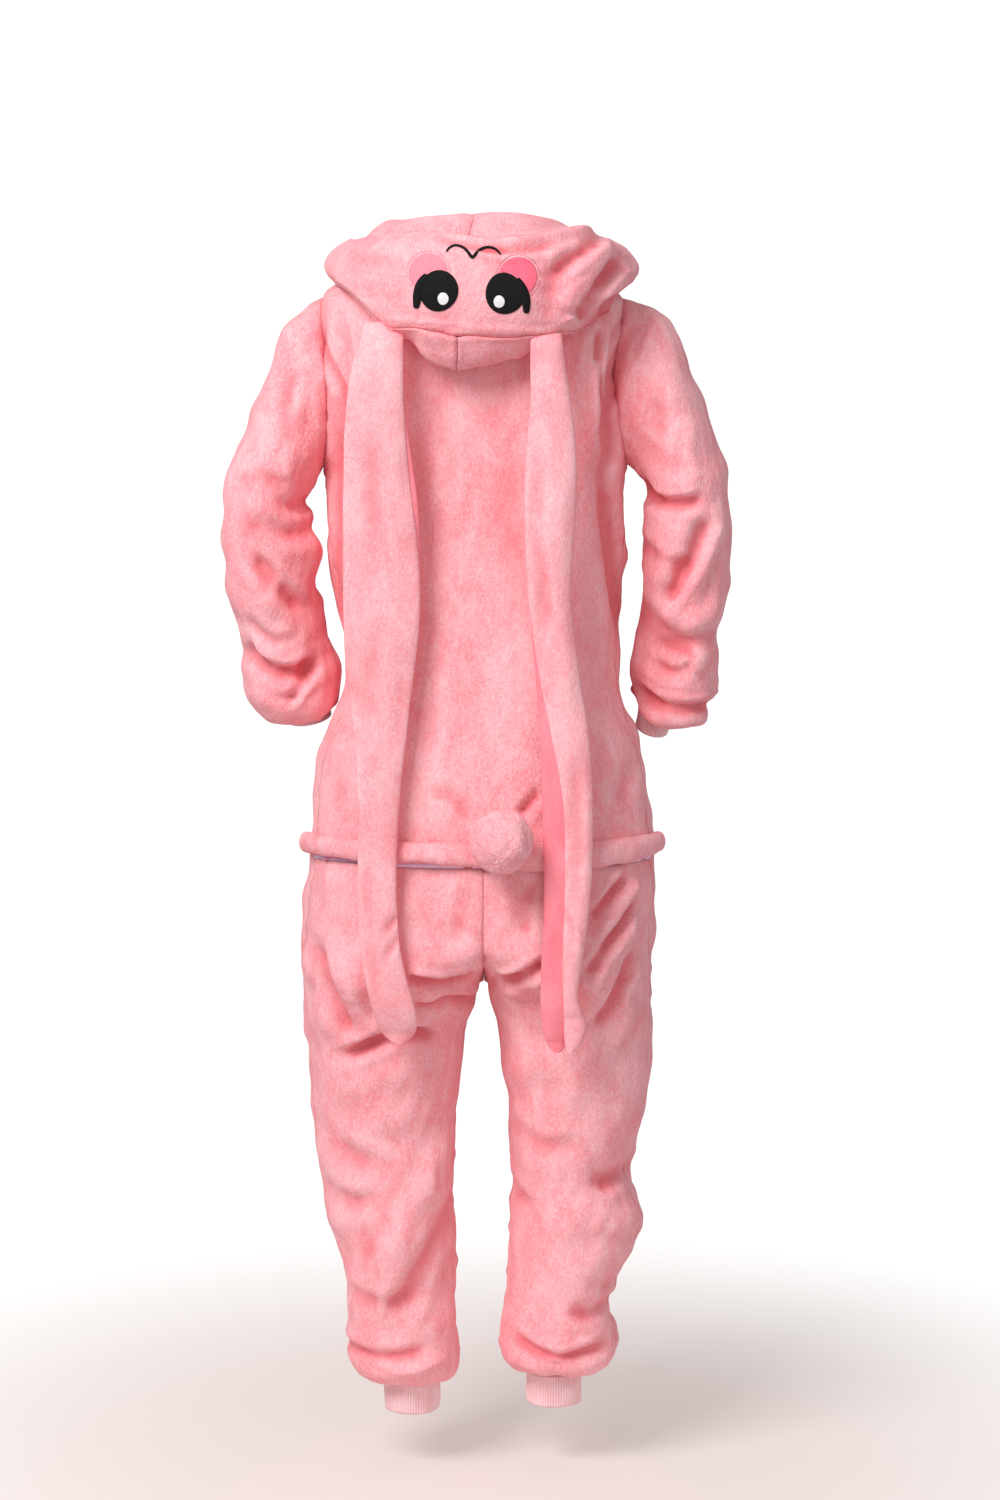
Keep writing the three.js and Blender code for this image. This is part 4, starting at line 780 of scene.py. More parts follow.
@dataclass(frozen=True)
class Knit:
    """Rib knit of fine cotton: soft, matt, with small stitches along each rib."""

    name: str
    light: str
    dark: str
    groove: str
    stitch: float = 0.0016

    def build(self) -> Material:
        """Builds the knit.

        Returns:
            The material.
        """
        material, tree, shader = blank(self.name)
        place = add(tree, "ShaderNodeTexCoord", {}).outputs["Object"]
        loops = add(
            tree,
            "ShaderNodeTexVoronoi",
            {"Vector": place, "Scale": 1 / self.stitch, "Randomness": 0.7},
        ).outputs["Distance"]
        cloud = add(
            tree, "ShaderNodeTexNoise", {"Vector": place, "Scale": 60.0, "Detail": 3.0}
        ).outputs["Fac"]
        groove = add(tree, "ShaderNodeAttribute", {}, attribute_name="hollow")
        spread = add(
            tree,
            "ShaderNodeMapRange",
            {"Value": cloud, "From Min": 0.35, "From Max": 0.65},
            interpolation_type="SMOOTHSTEP",
        )
        yarn = add(
            tree,
            "ShaderNodeMix",
            {0: spread.outputs["Result"], FROM: linear(self.light), TO: linear(self.dark)},
            data_type="RGBA",
        )
        # Shade is painted into the grooves between the ribs, from the hollow attribute.
        share = add(
            tree, "ShaderNodeMath", {0: groove.outputs["Fac"], 1: 0.75}, operation="MULTIPLY"
        )
        knit = add(
            tree,
            "ShaderNodeMix",
            {0: share.outputs[0], FROM: yarn.outputs[MIXED], TO: linear(self.groove)},
            data_type="RGBA",
        )
        tree.links.new(knit.outputs[MIXED], shader.inputs["Base Color"])
        bump = add(
            tree, "ShaderNodeBump", {"Height": loops, "Strength": 0.5, "Distance": 0.0006}
        )
        tree.links.new(bump.outputs["Normal"], shader.inputs["Normal"])
        shader.inputs["Roughness"].default_value = 0.9
        shader.inputs["Specular IOR Level"].default_value = 0.2
        shader.inputs["Sheen Weight"].default_value = 0.2
        return material


@dataclass(frozen=True)
class Satin:
    """Satin-stitched cloth: close parallel threads with a faint gloss.

    thread is the spacing of the threads in metres, drawn about twice as coarse as
    the real 0.4 mm so that it shows.
    """

    name: str
    light: str
    dark: str
    thread: float = 0.0009
    slant: float = 0.6
    roughness: float = 0.55

    def build(self) -> Material:
        """Builds the stitched cloth.

        Returns:
            The material.
        """
        material, tree, shader = blank(self.name)
        place = add(tree, "ShaderNodeTexCoord", {}).outputs["Object"]
        laid = add(
            tree, "ShaderNodeMapping", {"Vector": place, "Rotation": (0.0, self.slant, 0.0)}
        ).outputs["Vector"]
        threads = add(
            tree,
            "ShaderNodeTexWave",
            {"Vector": laid, "Scale": 0.314 / self.thread / 2, "Distortion": 1.2,
             "Detail": 1.0, "Detail Scale": 3.0},
            bands_direction="X",
        ).outputs["Fac"]
        fluff = add(
            tree, "ShaderNodeTexNoise", {"Vector": place, "Scale": 700.0, "Detail": 2.0}
        ).outputs["Fac"]
        spread = add(
            tree,
            "ShaderNodeMapRange",
            {"Value": fluff, "From Min": 0.3, "From Max": 0.7},
            interpolation_type="SMOOTHSTEP",
        )
        cloth = add(
            tree,
            "ShaderNodeMix",
            {0: spread.outputs["Result"], FROM: linear(self.dark), TO: linear(self.light)},
            data_type="RGBA",
        )
        tree.links.new(cloth.outputs[MIXED], shader.inputs["Base Color"])
        height = add(
            tree, "ShaderNodeMath", {0: fluff, 1: 0.3, 2: threads}, operation="MULTIPLY_ADD"
        )
        bump = add(
            tree,
            "ShaderNodeBump",
            {"Height": height.outputs[0], "Strength": 0.45, "Distance": 0.0004},
        )
        tree.links.new(bump.outputs["Normal"], shader.inputs["Normal"])
        shader.inputs["Roughness"].default_value = self.roughness
        shader.inputs["Specular IOR Level"].default_value = 0.25
        return material


@dataclass(frozen=True)
class Moulded:
    """Moulded or painted hard trim: smooth, with a faint orange peel."""

    name: str
    colour: str
    shade: str
    roughness: float = 0.3
    metallic: float = 0.0

    def build(self) -> Material:
        """Builds the trim's finish.

        Returns:
            The material.
        """
        material, tree, shader = blank(self.name)
        place = add(tree, "ShaderNodeTexCoord", {}).outputs["Object"]
        cloud = add(
            tree, "ShaderNodeTexNoise", {"Vector": place, "Scale": 160.0, "Detail": 3.0}
        ).outputs["Fac"]
        spread = add(
            tree,
            "ShaderNodeMapRange",
            {"Value": cloud, "From Min": 0.35, "From Max": 0.65},
            interpolation_type="SMOOTHSTEP",
        )
        paint = add(
            tree,
            "ShaderNodeMix",
            {0: spread.outputs["Result"], FROM: linear(self.colour), TO: linear(self.shade)},
            data_type="RGBA",
        )
        tree.links.new(paint.outputs[MIXED], shader.inputs["Base Color"])
        bump = add(
            tree, "ShaderNodeBump", {"Height": cloud, "Strength": 0.15, "Distance": 0.0002}
        )
        tree.links.new(bump.outputs["Normal"], shader.inputs["Normal"])
        shader.inputs["Roughness"].default_value = self.roughness
        shader.inputs["Metallic"].default_value = self.metallic
        return material


@dataclass(frozen=True)
class Finishes:
    """Every finish on the garment, each made once."""

    body: Material
    hood: Material
    ear: Material
    lining: Material
    tail: Material
    knit: Material
    black: Material
    white: Material
    cheek: Material
    tape: Material
    teeth: Material
    slider: Material
    button: Material
    thread: Material
    rose_thread: Material
    pale_cheek: Material

    @classmethod
    def make(cls) -> "Finishes":
        """Makes the finishes.

        Returns:
            All of them.
        """
        # Each fleece's fourth colour is the shade painted into its hollows.
        return cls(
            # Flannel fleece: matt, soft, pale where the tips are brushed up.
            body=Plush("pink_flannel_fleece", "#fdc3c8", "#f68d97", "#e0505c", patch=0.034).build(),
            # The same fleece, less worn on the hood.
            hood=Plush(
                "pink_flannel_fleece_hood", "#fcc0c5", "#f68d98", "#e0505c", patch=0.038
            ).build(),
            # The ears' fleece, brushed smoother, with less shade painted into its hollows.
            ear=Plush(
                "pink_flannel_fleece_ears", "#fdc4c9", "#f6949e", "#e0505c", patch=0.034,
                relief=0.0009, shade=0.45,
            ).build(),
            # Short velour: smooth, a deeper pink.
            lining=Plush(
                "deep_pink_velour", "#fd98a4", "#fa7f8d", "#e0566a", tuft=0.002,
                relief=0.0004, frost=0.14,
            ).build(),
            # Stuffed plush with a longer pile.
            tail=Plush(
                "pink_long_plush", "#fdc6cb", "#f6959f", "#e0606c", tuft=0.0055,
                relief=0.0022,
            ).build(),
            # Cotton rib: matt, with shade painted into its grooves in the third colour.
            knit=Knit("pale_pink_rib_knit", "#fddcde", "#f9ccd0", "#efbcc1").build(),
            # Rayon satin stitch in black: a faint gloss along the threads.
            black=Satin("black_satin_stitch", "#120f10", "#080606", roughness=0.8).build(),
            # The same stitch in white.
            white=Satin("white_satin_stitch", "#f4f1f1", "#e2dddf").build(),
            # Short velour cut into cheeks.
            cheek=Satin(
                "rose_velour", "#fb7a90", "#f8637b", thread=0.0012, roughness=0.85
            ).build(),
            # Woven polyester tape: matt, ribbed across.
            tape=Satin(
                "lilac_woven_tape", "#ffe0f8", "#fbc6ee", thread=0.0012, roughness=0.75
            ).build(),
            # Moulded nylon teeth: satin gloss.
            teeth=Moulded("lilac_nylon_teeth", "#fbcbf2", "#f5b8e8", 0.4).build(),
            # Zinc slider under gloss paint.
            slider=Moulded("lilac_painted_zinc", "#d98fb9", "#cf82ae", 0.28, 0.3).build(),
            # Cast polyester button: high gloss.
            button=Moulded("pink_polyester_button", "#f08f9c", "#e87f8e", 0.18).build(),
            # Spun polyester sewing thread in a dull rose: faint gloss.
            rose_thread=Satin(
                "rose_sewing_thread", "#c66a7a", "#b35a6b", thread=0.0006
            ).build(),
            # The cheek's velour in a paler pink, for the left cheek.
            pale_cheek=Satin(
                "pale_rose_velour", "#fb95a4", "#f88798", thread=0.0012, roughness=0.9
            ).build(),
            # The same thread in pale pink.
            thread=Satin(
                "pink_sewing_thread", "#f7b3ba", "#ee9aa4", thread=0.0006
            ).build(),
        )


# ---------- mesh from nodes


def let_down(points: np.ndarray, drops: tuple[float, float]) -> np.ndarray:
    """Lets the legs' lower ends hang lower.

    Args:
        points: Places in the row frame, one row each.
        drops: How far the left and the right leg's end drops, in metres.

    Returns:
        The new places.
    """
    share = ease((KNEE - points[:, 2]) / (KNEE - ANKLE))
    left = ease(0.5 - points[:, 0] / 0.02)
    points[:, 2] -= share * (drops[0] * left + drops[1] * (1 - left))
    return points


def merged_copy(node: str) -> BMesh:
    """A CAD node's mesh with its loose triangles merged.

    Args:
        node: The node's name.

    Returns:
        A closed mesh in the row frame.
    """
    bm = bmesh.new()
    bm.from_mesh(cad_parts[node].data)
    bmesh.ops.remove_doubles(bm, verts=bm.verts, dist=2e-5)
    return bm


def placed(name: str, bm: BMesh) -> Object:
    """Turns a bmesh into an object at the origin.

    Args:
        name: The piece's name.
        bm: Its mesh, which is freed.

    Returns:
        The object.
    """
    mesh = bpy.data.meshes.new(name)
    bm.to_mesh(mesh)
    bm.free()
    mesh.shade_smooth()
    piece = bpy.data.objects.new(name, mesh)
    bpy.context.scene.collection.objects.link(piece)
    return piece


def settle(piece: Object) -> None:
    """Applies a piece's modifiers to its mesh.

    Args:
        piece: The object.
    """
    bpy.context.view_layer.update()
    graph = bpy.context.evaluated_depsgraph_get()
    mesh = bpy.data.meshes.new_from_object(piece.evaluated_get(graph))
    plain = piece.data
    piece.modifiers.clear()
    piece.data = mesh
    bpy.data.meshes.remove(plain)
    mesh.name = piece.name


def subdivided(piece: Object, levels: int) -> None:
    """Rounds a piece with a Catmull-Clark surface and applies it.

    Args:
        piece: The object.
        levels: How often each face is cut.
    """
    surface = piece.modifiers.new("rounded", "SUBSURF")
    surface.levels = levels
    surface.render_levels = levels
    surface.boundary_smooth = "PRESERVE_CORNERS"
    settle(piece)


def read_points(piece: Object) -> tuple[np.ndarray, np.ndarray]:
    """Reads a mesh.

    Args:
        piece: The object.

    Returns:
        Its vertices and their normals, one row each.
    """
    mesh = piece.data
    points = np.empty(len(mesh.vertices) * 3)
    mesh.vertices.foreach_get("co", points)
    normals = np.empty(len(mesh.vertices) * 3)
    mesh.vertex_normals.foreach_get("vector", normals)
    return points.reshape(-1, 3), normals.reshape(-1, 3)


def write_points(piece: Object, points: np.ndarray) -> None:
    """Moves a mesh's vertices to new places."""
    piece.data.vertices.foreach_set("co", points.ravel())
    piece.data.update()


def mark(piece: Object, name: str, values: np.ndarray) -> None:
    """Keeps one number for each vertex as an attribute."""
    layer = piece.data.attributes.new(name, "FLOAT", "POINT")
    layer.data.foreach_set("value", np.ascontiguousarray(values, dtype=np.float32))


def finish_piece(piece: Object, material: Material, slot: str, *nodes: str) -> Object:
    """Gives a piece its finish and its place in the row.

    Args:
        piece: The object.
        material: Its finish.
        slot: The record's material slot; not used.
        nodes: The CAD nodes that it stands for.

    Returns:
        The same object.
    """
    piece.data.materials.clear()
    piece.data.materials.append(material)
    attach(piece, "root")
    if nodes:
        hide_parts(*nodes)
    LOG.info("%s: %d faces", piece.name, len(piece.data.polygons))
    return piece


def wall_tree(mesh: Mesh) -> BVHTree:
    """A mesh's faces, for finding places on them."""
    return BVHTree.FromPolygons(
        [v.co for v in mesh.vertices], [tuple(p.vertices) for p in mesh.polygons]
    )


def thicken(piece: Object, thickness: float, name: str = "cloth") -> None:
    """Gives a sheet its thickness, inwards from the face that shows.

    Args:
        piece: The sheet.
        thickness: In metres.
        name: The modifier's name.
    """
    wall = piece.modifiers.new(name, "SOLIDIFY")
    wall.thickness = thickness
    wall.offset = -1.0


def face_back(bm: BMesh) -> None:
    """Turns an open sheet so that its faces point to the back of the garment."""
    bmesh.ops.recalc_face_normals(bm, faces=bm.faces)
    if sum(f.normal.y * f.calc_area() for f in bm.faces) > 0:
        bmesh.ops.reverse_faces(bm, faces=bm.faces)


@dataclass(frozen=True)
class Cut:
    """How a piece of cloth is cut flat, in metres, and how it is held."""

    width: float
    length: float
    area: float
    held: Held
    rests_on: tuple[str, ...] = ()

    def declare(self, piece: Object) -> None:
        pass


# A line down the middle of each tube of cloth, which tells the outer wall from the inner.
TRUNK_LINE = ((0.0, 0.0, -0.06), (0.0, 0.0, -0.35), (0.0, 0.0, -0.66))
LEG_LINES = {
    "left": ((-0.1, 0.0, -0.8), (-0.1, 0.0, -1.0), (-0.09, 0.0, -1.2)),
    "right": ((0.1, 0.0, -0.8), (0.095, 0.0, -1.0), (0.085, 0.0, -1.2)),
}
ARM_LINES = {
    "left": ((-0.2, 0.0, -0.12), (-0.235, -0.01, -0.3), (-0.212, 0.02, -0.45)),
    "right": ((0.19, 0.0, -0.12), (0.22, -0.01, -0.3), (0.2, 0.02, -0.45)),
}
BAG_LINE = ((0.0, -0.15, -0.015),)

# The wall has this share of the panel's thickness, so that seams stay closed.
WALL_SHARE = 0.9
# An edge is on a panel's cut edge where it is as long as the cloth is thick, to this.
RIM_SLIP = 1.3e-5

# Where the hood's lip hangs slack on the left, (x, z), over what half-width and
# half-height, and how far, in metres.
LIP = (-0.116, -0.058)
LIP_REACH = (0.034, 0.024)
LIP_SAG = 0.017
# The half-width of the nape's middle that is pulled aside, and the depths and the
# height from which it is.
NAPE_REACH = 0.062
LIP_BEHIND, NAPE_BEHIND, NAPE_LOW = -0.09, -0.085, -0.066
# Over how much depth and how much height both set in.
SET_IN, SET_IN_LOW = 0.05, 0.03


@dataclass(frozen=True)
class Panel:
    """One cut panel of fleece, laid over its plain solid.

    core is a line inside the panel's tube, thickness the cloth's, levels how often
    the plain form's faces are cut before the cloth is draped. lean is how far the
    lower back of the panel is pulled to the side, sag how far its edge hangs down.
    """

    node: str
    cut: Cut
    core: tuple[tuple[float, float, float], ...]
    thickness: float = 0.0026
    levels: int = 3
    lean: float = 0.0
    sag: float = 0.0

    def outer_skin(self) -> BMesh:
        """Takes the outer wall from a merged copy of the panel's solid.

        Returns:
            The wall, as four-sided faces where they pair up.
        """
        bm = merged_copy(self.node)
        rim = [
            face
            for face in bm.faces
            if any(abs(e.calc_length() - self.thickness) < RIM_SLIP for e in face.edges)
        ]
        bmesh.ops.delete(bm, geom=rim, context="FACES")
        core = [Vector(p) for p in self.core]
        walls: list[tuple[float, list[bmesh.types.BMFace]]] = []
        left = set(bm.faces)
        while left:
            wall, edge = [], [left.pop()]
            outward = 0.0
            while edge:
                face = edge.pop()
                wall.append(face)
                middle = face.calc_center_median()
                inside = min(core, key=lambda p: (p - middle).length_squared)
                outward += face.calc_area() * face.normal.dot((middle - inside).normalized())
                for side in face.edges:
                    for other in side.link_faces:
                        if other in left:
                            left.remove(other)
                            edge.append(other)
            walls.append((outward, wall))
        walls.sort(key=lambda w: w[0], reverse=True)
        if len(walls) != 2:
            LOG.warning("%s: %d walls %s", self.node, len(walls), [len(w[1]) for w in walls])
        inner = [face for _, wall in walls[1:] for face in wall]
        bmesh.ops.delete(bm, geom=inner, context="FACES")
        bmesh.ops.join_triangles(
            bm,
            faces=bm.faces,
            angle_face_threshold=math.radians(70),
            angle_shape_threshold=PAIR_SKEW,
        )
        return bm

    def skin(self) -> Object:
        """Builds the rounded outer wall, not yet draped.

        Returns:
            The wall.
        """
        piece = placed(self.node + "_cloth", self.outer_skin())
        subdivided(piece, self.levels)
        points, _ = read_points(piece)
        if self.node.startswith(("seat_leg", "front")):
            points = let_down(points, LEG_DROP)
        if self.node.startswith("hood"):
            points = self.slacken(points)
        write_points(piece, points)
        return piece

    def slacken(self, points: np.ndarray) -> np.ndarray:
        """Lets the hood's left lip sag, and pulls its nape to the side.

        Args:
            points: Places in the row frame, one row each.

        Returns:
            The new places.
        """
        behind = ease((LIP_BEHIND - points[:, 1]) / SET_IN)
        lip = np.exp(-(((points[:, 2] - LIP[1]) / LIP_REACH[1]) ** 2))
        slack = np.exp(-(((points[:, 0] - LIP[0]) / LIP_REACH[0]) ** 2)) * behind * lip
        points[:, 2] -= LIP_SAG * slack
        # Places pass through single precision, as they do in a mesh.
        points = points.astype(np.float32).astype(float)
        if self.lean:
            behind = ease((NAPE_BEHIND - points[:, 1]) / SET_IN)
            middle = behind * np.exp(-((points[:, 0] / NAPE_REACH) ** 4))
            low = ease((NAPE_LOW - points[:, 2]) / SET_IN_LOW)
            points[:, 0] += self.lean * middle
            points[:, 2] -= self.sag * middle * low
        return points


@dataclass
class Sewing:
    """Joins the panels along their seams and drapes them.

    reach is how far apart two edges may lie to be sewn, and turn how far from a seam
    the cloth takes to find its own direction again, in metres. around is how many
    places of a seam give the cloth beside it their direction.
    """

    reach: float = 0.009
    turn: float = 0.022
    around: int = 6

    def edges(self, piece: Object) -> list[int]:
        """The vertices along a panel's cut edges."""
        bm = bmesh.new()
        bm.from_mesh(piece.data)
        out = [v.index for v in bm.verts if v.is_boundary]
        bm.free()
        return out

    def build(
        self,
        panels: Sequence[Panel],
        drapes: dict[str, Drape],
        cloths: dict[str, Material],
    ) -> dict[str, Object]:
        """Builds all the panels, each sewn to its neighbours.

        Args:
            panels: Every panel.
            drapes: The creases and swells of each panel.
            cloths: The fleece of each panel.

        Returns:
            The finished panels by node.
        """
        skins = {panel.node: panel.skin() for panel in panels}
        solid, spots, facings = {}, {}, {}
        for node, piece in skins.items():
            solid[node] = wall_tree(piece.data)
            spots[node], facings[node] = read_points(piece)
        seams: list[tuple[Vector, np.ndarray]] = []
        pulled: dict[str, dict[int, Vector]] = {}
        for node, piece in skins.items():
            pulled[node] = {}
            for i in self.edges(piece):
                here = Vector(spots[node][i])
                facing = facings[node][i].copy()
                meeting = []
                for other, tree in solid.items():
                    if other == node:
                        continue
                    near, normal, _, _ = tree.find_nearest(here, self.reach)
                    if near is not None:
                        meeting.append(near)
                        facing += np.array(normal)
                if meeting:
                    target = (here + min(meeting, key=lambda p: (p - here).length)) / 2
                    pulled[node][i] = target
                    seams.append((target, facing / max(np.linalg.norm(facing), 1e-6)))
        index = KDTree(len(seams))
        for i, (place, _) in enumerate(seams):
            index.insert(place, i)
        index.balance()
        finished = {}
        for panel in panels:
            piece = skins[panel.node]
            points, normals = spots[panel.node], facings[panel.node]
            seam = np.empty(len(points))
            shared = normals.copy()
            for i, point in enumerate(points):
                _, _, seam[i] = index.find(Vector(point))
                if seam[i] < self.turn:
                    around = index.find_n(Vector(point), self.around)
                    mean = sum(seams[k][1] for _, k, _ in around)
                    shared[i] = mean / max(np.linalg.norm(mean), 1e-6)
            for i, place in pulled[panel.node].items():
                points[i] = place
                seam[i] = 0.0
            own = ease(seam / self.turn)[:, None]
            way = normals * own + shared * (1 - own)
            way /= np.linalg.norm(way, axis=1)[:, None]
            moved, hollow = drapes[panel.node].press(points, way, seam)
            write_points(piece, points + way * moved[:, None])
            # Shade is painted where the cloth lies in a hollow or beside a seam.
            mark(piece, "hollow", hollow)
            thicken(piece, panel.thickness * WALL_SHARE)
            finish_piece(piece, cloths[panel.node], "fleece", panel.node)
            panel.cut.declare(piece)
            finished[panel.node] = piece
        return finished


# How crisp the edges of a closed strip stay, from 0 to 1.
CRISP = 0.85


def closed_cloth(node: str, levels: int, sharp: float = 50.0) -> Object:
    """A closed strip of cloth from its solid, rounded but for its cut edges.

    Args:
        node: The CAD node.
        levels: How often its faces are cut.
        sharp: Edges that turn more than this many degrees stay crisp.

    Returns:
        The rounded piece.
    """
    bm = merged_copy(node)
    bmesh.ops.join_triangles(
        bm,
        faces=bm.faces,
        angle_face_threshold=math.radians(35),
        angle_shape_threshold=PAIR_SKEW,
    )
    crisp = bm.edges.layers.float.new("crease_edge")
    for edge in bm.edges:
        if len(edge.link_faces) == 2 and edge.calc_face_angle() > math.radians(sharp):
            edge[crisp] = CRISP
    piece = placed(node + "_cloth", bm)
    subdivided(piece, levels)
    return piece


def stitch_row(
    name: str, line: Sequence[Vector], length: float, gap: float, thick: float
) -> Object:
    """A row of running stitches along a line, each a short rounded bead of thread.

    Args:
        name: The piece's name.
        line: Close points of the line in the row frame.
        length: Length of a stitch.
        gap: Space between stitches.
        thick: The thread's thickness.

    Returns:
        All the stitches as one piece.
    """
    run = [0.0]
    for a, b in zip(line, line[1:]):
        run.append(run[-1] + (b - a).length)
    places = np.array([tuple(p) for p in line])
    bm = bmesh.new()
    at = gap / 2
    while at + length < run[-1]:
        ends = [
            Vector([float(np.interp(s, run, places[:, k])) for k in range(3)])
            for s in (at, at + length)
        ]
        way = (ends[1] - ends[0]).normalized()
        turn = way.to_track_quat("Z", "Y").to_matrix().to_4x4()
        bead = bmesh.ops.create_uvsphere(bm, u_segments=6, v_segments=4, radius=0.5)
        shape = (
            Matrix.Translation((ends[0] + ends[1]) / 2)
            @ turn
            @ Matrix.Diagonal((thick, thick, length, 1.0))
        )
        bmesh.ops.transform(bm, verts=bead["verts"], matrix=shape)
        at += length + gap
    return placed(name, bm)


# ---------- sub-assemblies


# The seat's creases that have others like them on the front.
HIP_ROWS = slice(3, 14)


@dataclass
class Body:
    """The trunk, the legs and the sleeves."""

    panels: tuple[Panel, ...] = (
        Panel("back", Cut(0.52, 0.70, 0.30, Held.HUNG), TRUNK_LINE),
        Panel(
            "front_left", Cut(0.36, 1.32, 0.36, Held.HUNG), TRUNK_LINE + LEG_LINES["left"]
        ),
        Panel(
            "front_right", Cut(0.36, 1.32, 0.36, Held.HUNG), TRUNK_LINE + LEG_LINES["right"]
        ),
        Panel("seat_leg_left", Cut(0.32, 0.62, 0.165, Held.HUNG), LEG_LINES["left"]),
        Panel("seat_leg_right", Cut(0.32, 0.62, 0.162, Held.HUNG), LEG_LINES["right"]),
        Panel("sleeve_left", Cut(0.36, 0.52, 0.16, Held.GATHERED), ARM_LINES["left"]),
        Panel("sleeve_right", Cut(0.36, 0.52, 0.16, Held.GATHERED), ARM_LINES["right"]),
    )

    def creases(self) -> tuple[Crease, ...]:
        """The creases that the photograph shows, and others like them on the front."""
        shown = BACK_CREASES + SEAT_CREASES + LEG_CREASES + SLEEVE_CREASES
        legs = tuple(c.turned(0.012, 0.018) for c in LEG_CREASES + SLEEVE_CREASES)
        hips = tuple(c.turned(-0.01, 0.03) for c in SEAT_CREASES[HIP_ROWS])
        return shown + legs + hips


@dataclass
class Hood:
    """The hood, laid back with its bag open: two napes and the crown with the face."""

    napes: tuple[Panel, ...] = (
        Panel(
            "hood_nape_left", Cut(0.34, 0.22, 0.055, Held.FOLDED), BAG_LINE, 0.003,
            lean=-0.026, sag=0.006,
        ),
        Panel(
            "hood_nape_right", Cut(0.34, 0.22, 0.06, Held.FOLDED), BAG_LINE, 0.003,
            lean=-0.026, sag=0.006,
        ),
    )
    crown: Panel = Panel("hood_crown", Cut(0.46, 0.2, 0.078, Held.FOLDED), BAG_LINE, 0.003)

    def drape(self) -> Drape:
        """The hood's creases and swells."""
        return Drape(
            HOOD_CREASES,
            (Swell(5, 0.120, 0.0010), Swell(9, 0.045, 0.0005)),
            seam_depth=0.0016,
        )


@dataclass(frozen=True)
class EarLayer:
    """One layer of an ear: a long strip that bows away from the garment's back.

    rows holds (height above the floor, left edge, right edge); bow is how far its
    middle stands out from its edges, back how far the layer lies behind the ear's
    outer face, full the depth at which the shade painted into a hollow is darkest,
    all in metres.
    """

    node: str
    rows: tuple[tuple[float, float, float], ...]
    cut: Cut
    thickness: float
    bow: float
    back: float
    full: float = 0.004

    def outline(self, count: int) -> np.ndarray:
        """The outline at even heights.

        Args:
            count: How many rows.

        Returns:
            Height, left edge and right edge of each row, from the top down.
        """
        table = np.array(self.rows)
        share = np.linspace(0, 1, count)
        # Rows crowd together towards the round tip.
        heights = table[0, 0] + (table[-1, 0] - table[0, 0]) * np.sin(share * math.pi / 2)
        rising = table[::-1]
        left = np.interp(heights, rising[:, 0], rising[:, 1])
        right = np.interp(heights, rising[:, 0], rising[:, 2])
        soft = np.array([0.1, 0.2, 0.4, 0.2, 0.1])
        for edge in (left, right):
            padded = np.concatenate([[edge[0]] * 2, edge, [edge[-1]] * 2])
            edge[2:-2] = np.convolve(padded, soft, "valid")[2:-2]
        return np.stack([heights, left, right], axis=1)

    def hang(self, node: str, rows: np.ndarray) -> np.ndarray:
        """How far back the ear hangs at each row, taken from its solid.

        Args:
            node: The ear's outer solid.
            rows: The outline.

        Returns:
            The place along the depth of the outer face at each row, in metres.
        """
        solid = wall_tree(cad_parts[node].data)
        depth: list[float | None] = []
        for height, left, right in rows:
            for share in (0.5, 0.4, 0.6, 0.3, 0.7, 0.2):
                start = Vector((left + (right - left) * share, -1.0, height - SHOULDER_HEIGHT))
                hit = solid.ray_cast(start, Vector((0, 1, 0)))[0]
                if hit is not None:
                    break
            depth.append(hit.y if hit is not None else None)
        known = [i for i, y in enumerate(depth) if y is not None]
        smooth = np.interp(range(len(depth)), known, [depth[i] for i in known])
        for _ in range(3):
            smooth[1:-1] = (smooth[:-2] + 2 * smooth[1:-1] + smooth[2:]) / 4
        # The top end turns in under the hood's lip, to its seam.
        share = ease((rows[:, 0] - EAR_SEAM + EAR_TURN_LOW) / EAR_TURN_SPAN)
        return smooth + EAR_TURN_IN * share

    def build(self, outer: str, material: Material, slot: str) -> Object:
        """Builds the layer.

        Args:
            outer: The CAD node of the ear's outer layer.
            material: Its finish.
            slot: The record's slot.

        Returns:
            The layer.
        """
        rows = self.outline(EAR_ROWS + 1)
        depth = self.hang(outer, rows)
        bm = bmesh.new()
        bmesh.ops.create_grid(bm, x_segments=EAR_COLUMNS, y_segments=EAR_ROWS, size=1.0)
        for vertex in bm.verts:
            across = vertex.co.x
            i = round((1 - vertex.co.y) / 2 * EAR_ROWS)
            height, left, right = rows[i]
            # Columns crowd together towards the turned edges.
            across = math.sin(across * math.pi / 2)
            lens = math.sqrt(max(0.0, 1 - across * across))
            tip = min(1.0, (right - left) / EAR_TIP)
            vertex.co = Vector((
                (left + right) / 2 + across * (right - left) / 2,
                depth[i] + self.back + self.bow * tip * (1 - lens),
                height - SHOULDER_HEIGHT,
            ))
        face_back(bm)
        piece = placed(self.node + "_cloth", bm)
        points, _ = read_points(piece)
        # Both layers move together, so that they never cross.
        flat = np.tile(np.array([0.0, -1.0, 0.0]), (len(points), 1))
        moved = sum(crease.at(points, flat) for crease in EAR_CREASES)
        for swell in EAR_SWELLS:
            moved += swell.at(points)
        points[:, 1] -= moved
        write_points(piece, points)
        # Shade is painted into the ear's creases.
        mark(piece, "hollow", np.clip(-moved / self.full, 0, 1))
        thicken(piece, self.thickness)
        finish_piece(piece, material, slot, self.node)
        self.cut.declare(piece)
        return piece


LEFT_EAR_CUT = Cut(0.09, 0.8, 0.055, Held.HUNG)
RIGHT_EAR_CUT = Cut(0.085, 0.8, 0.043, Held.FOLDED)


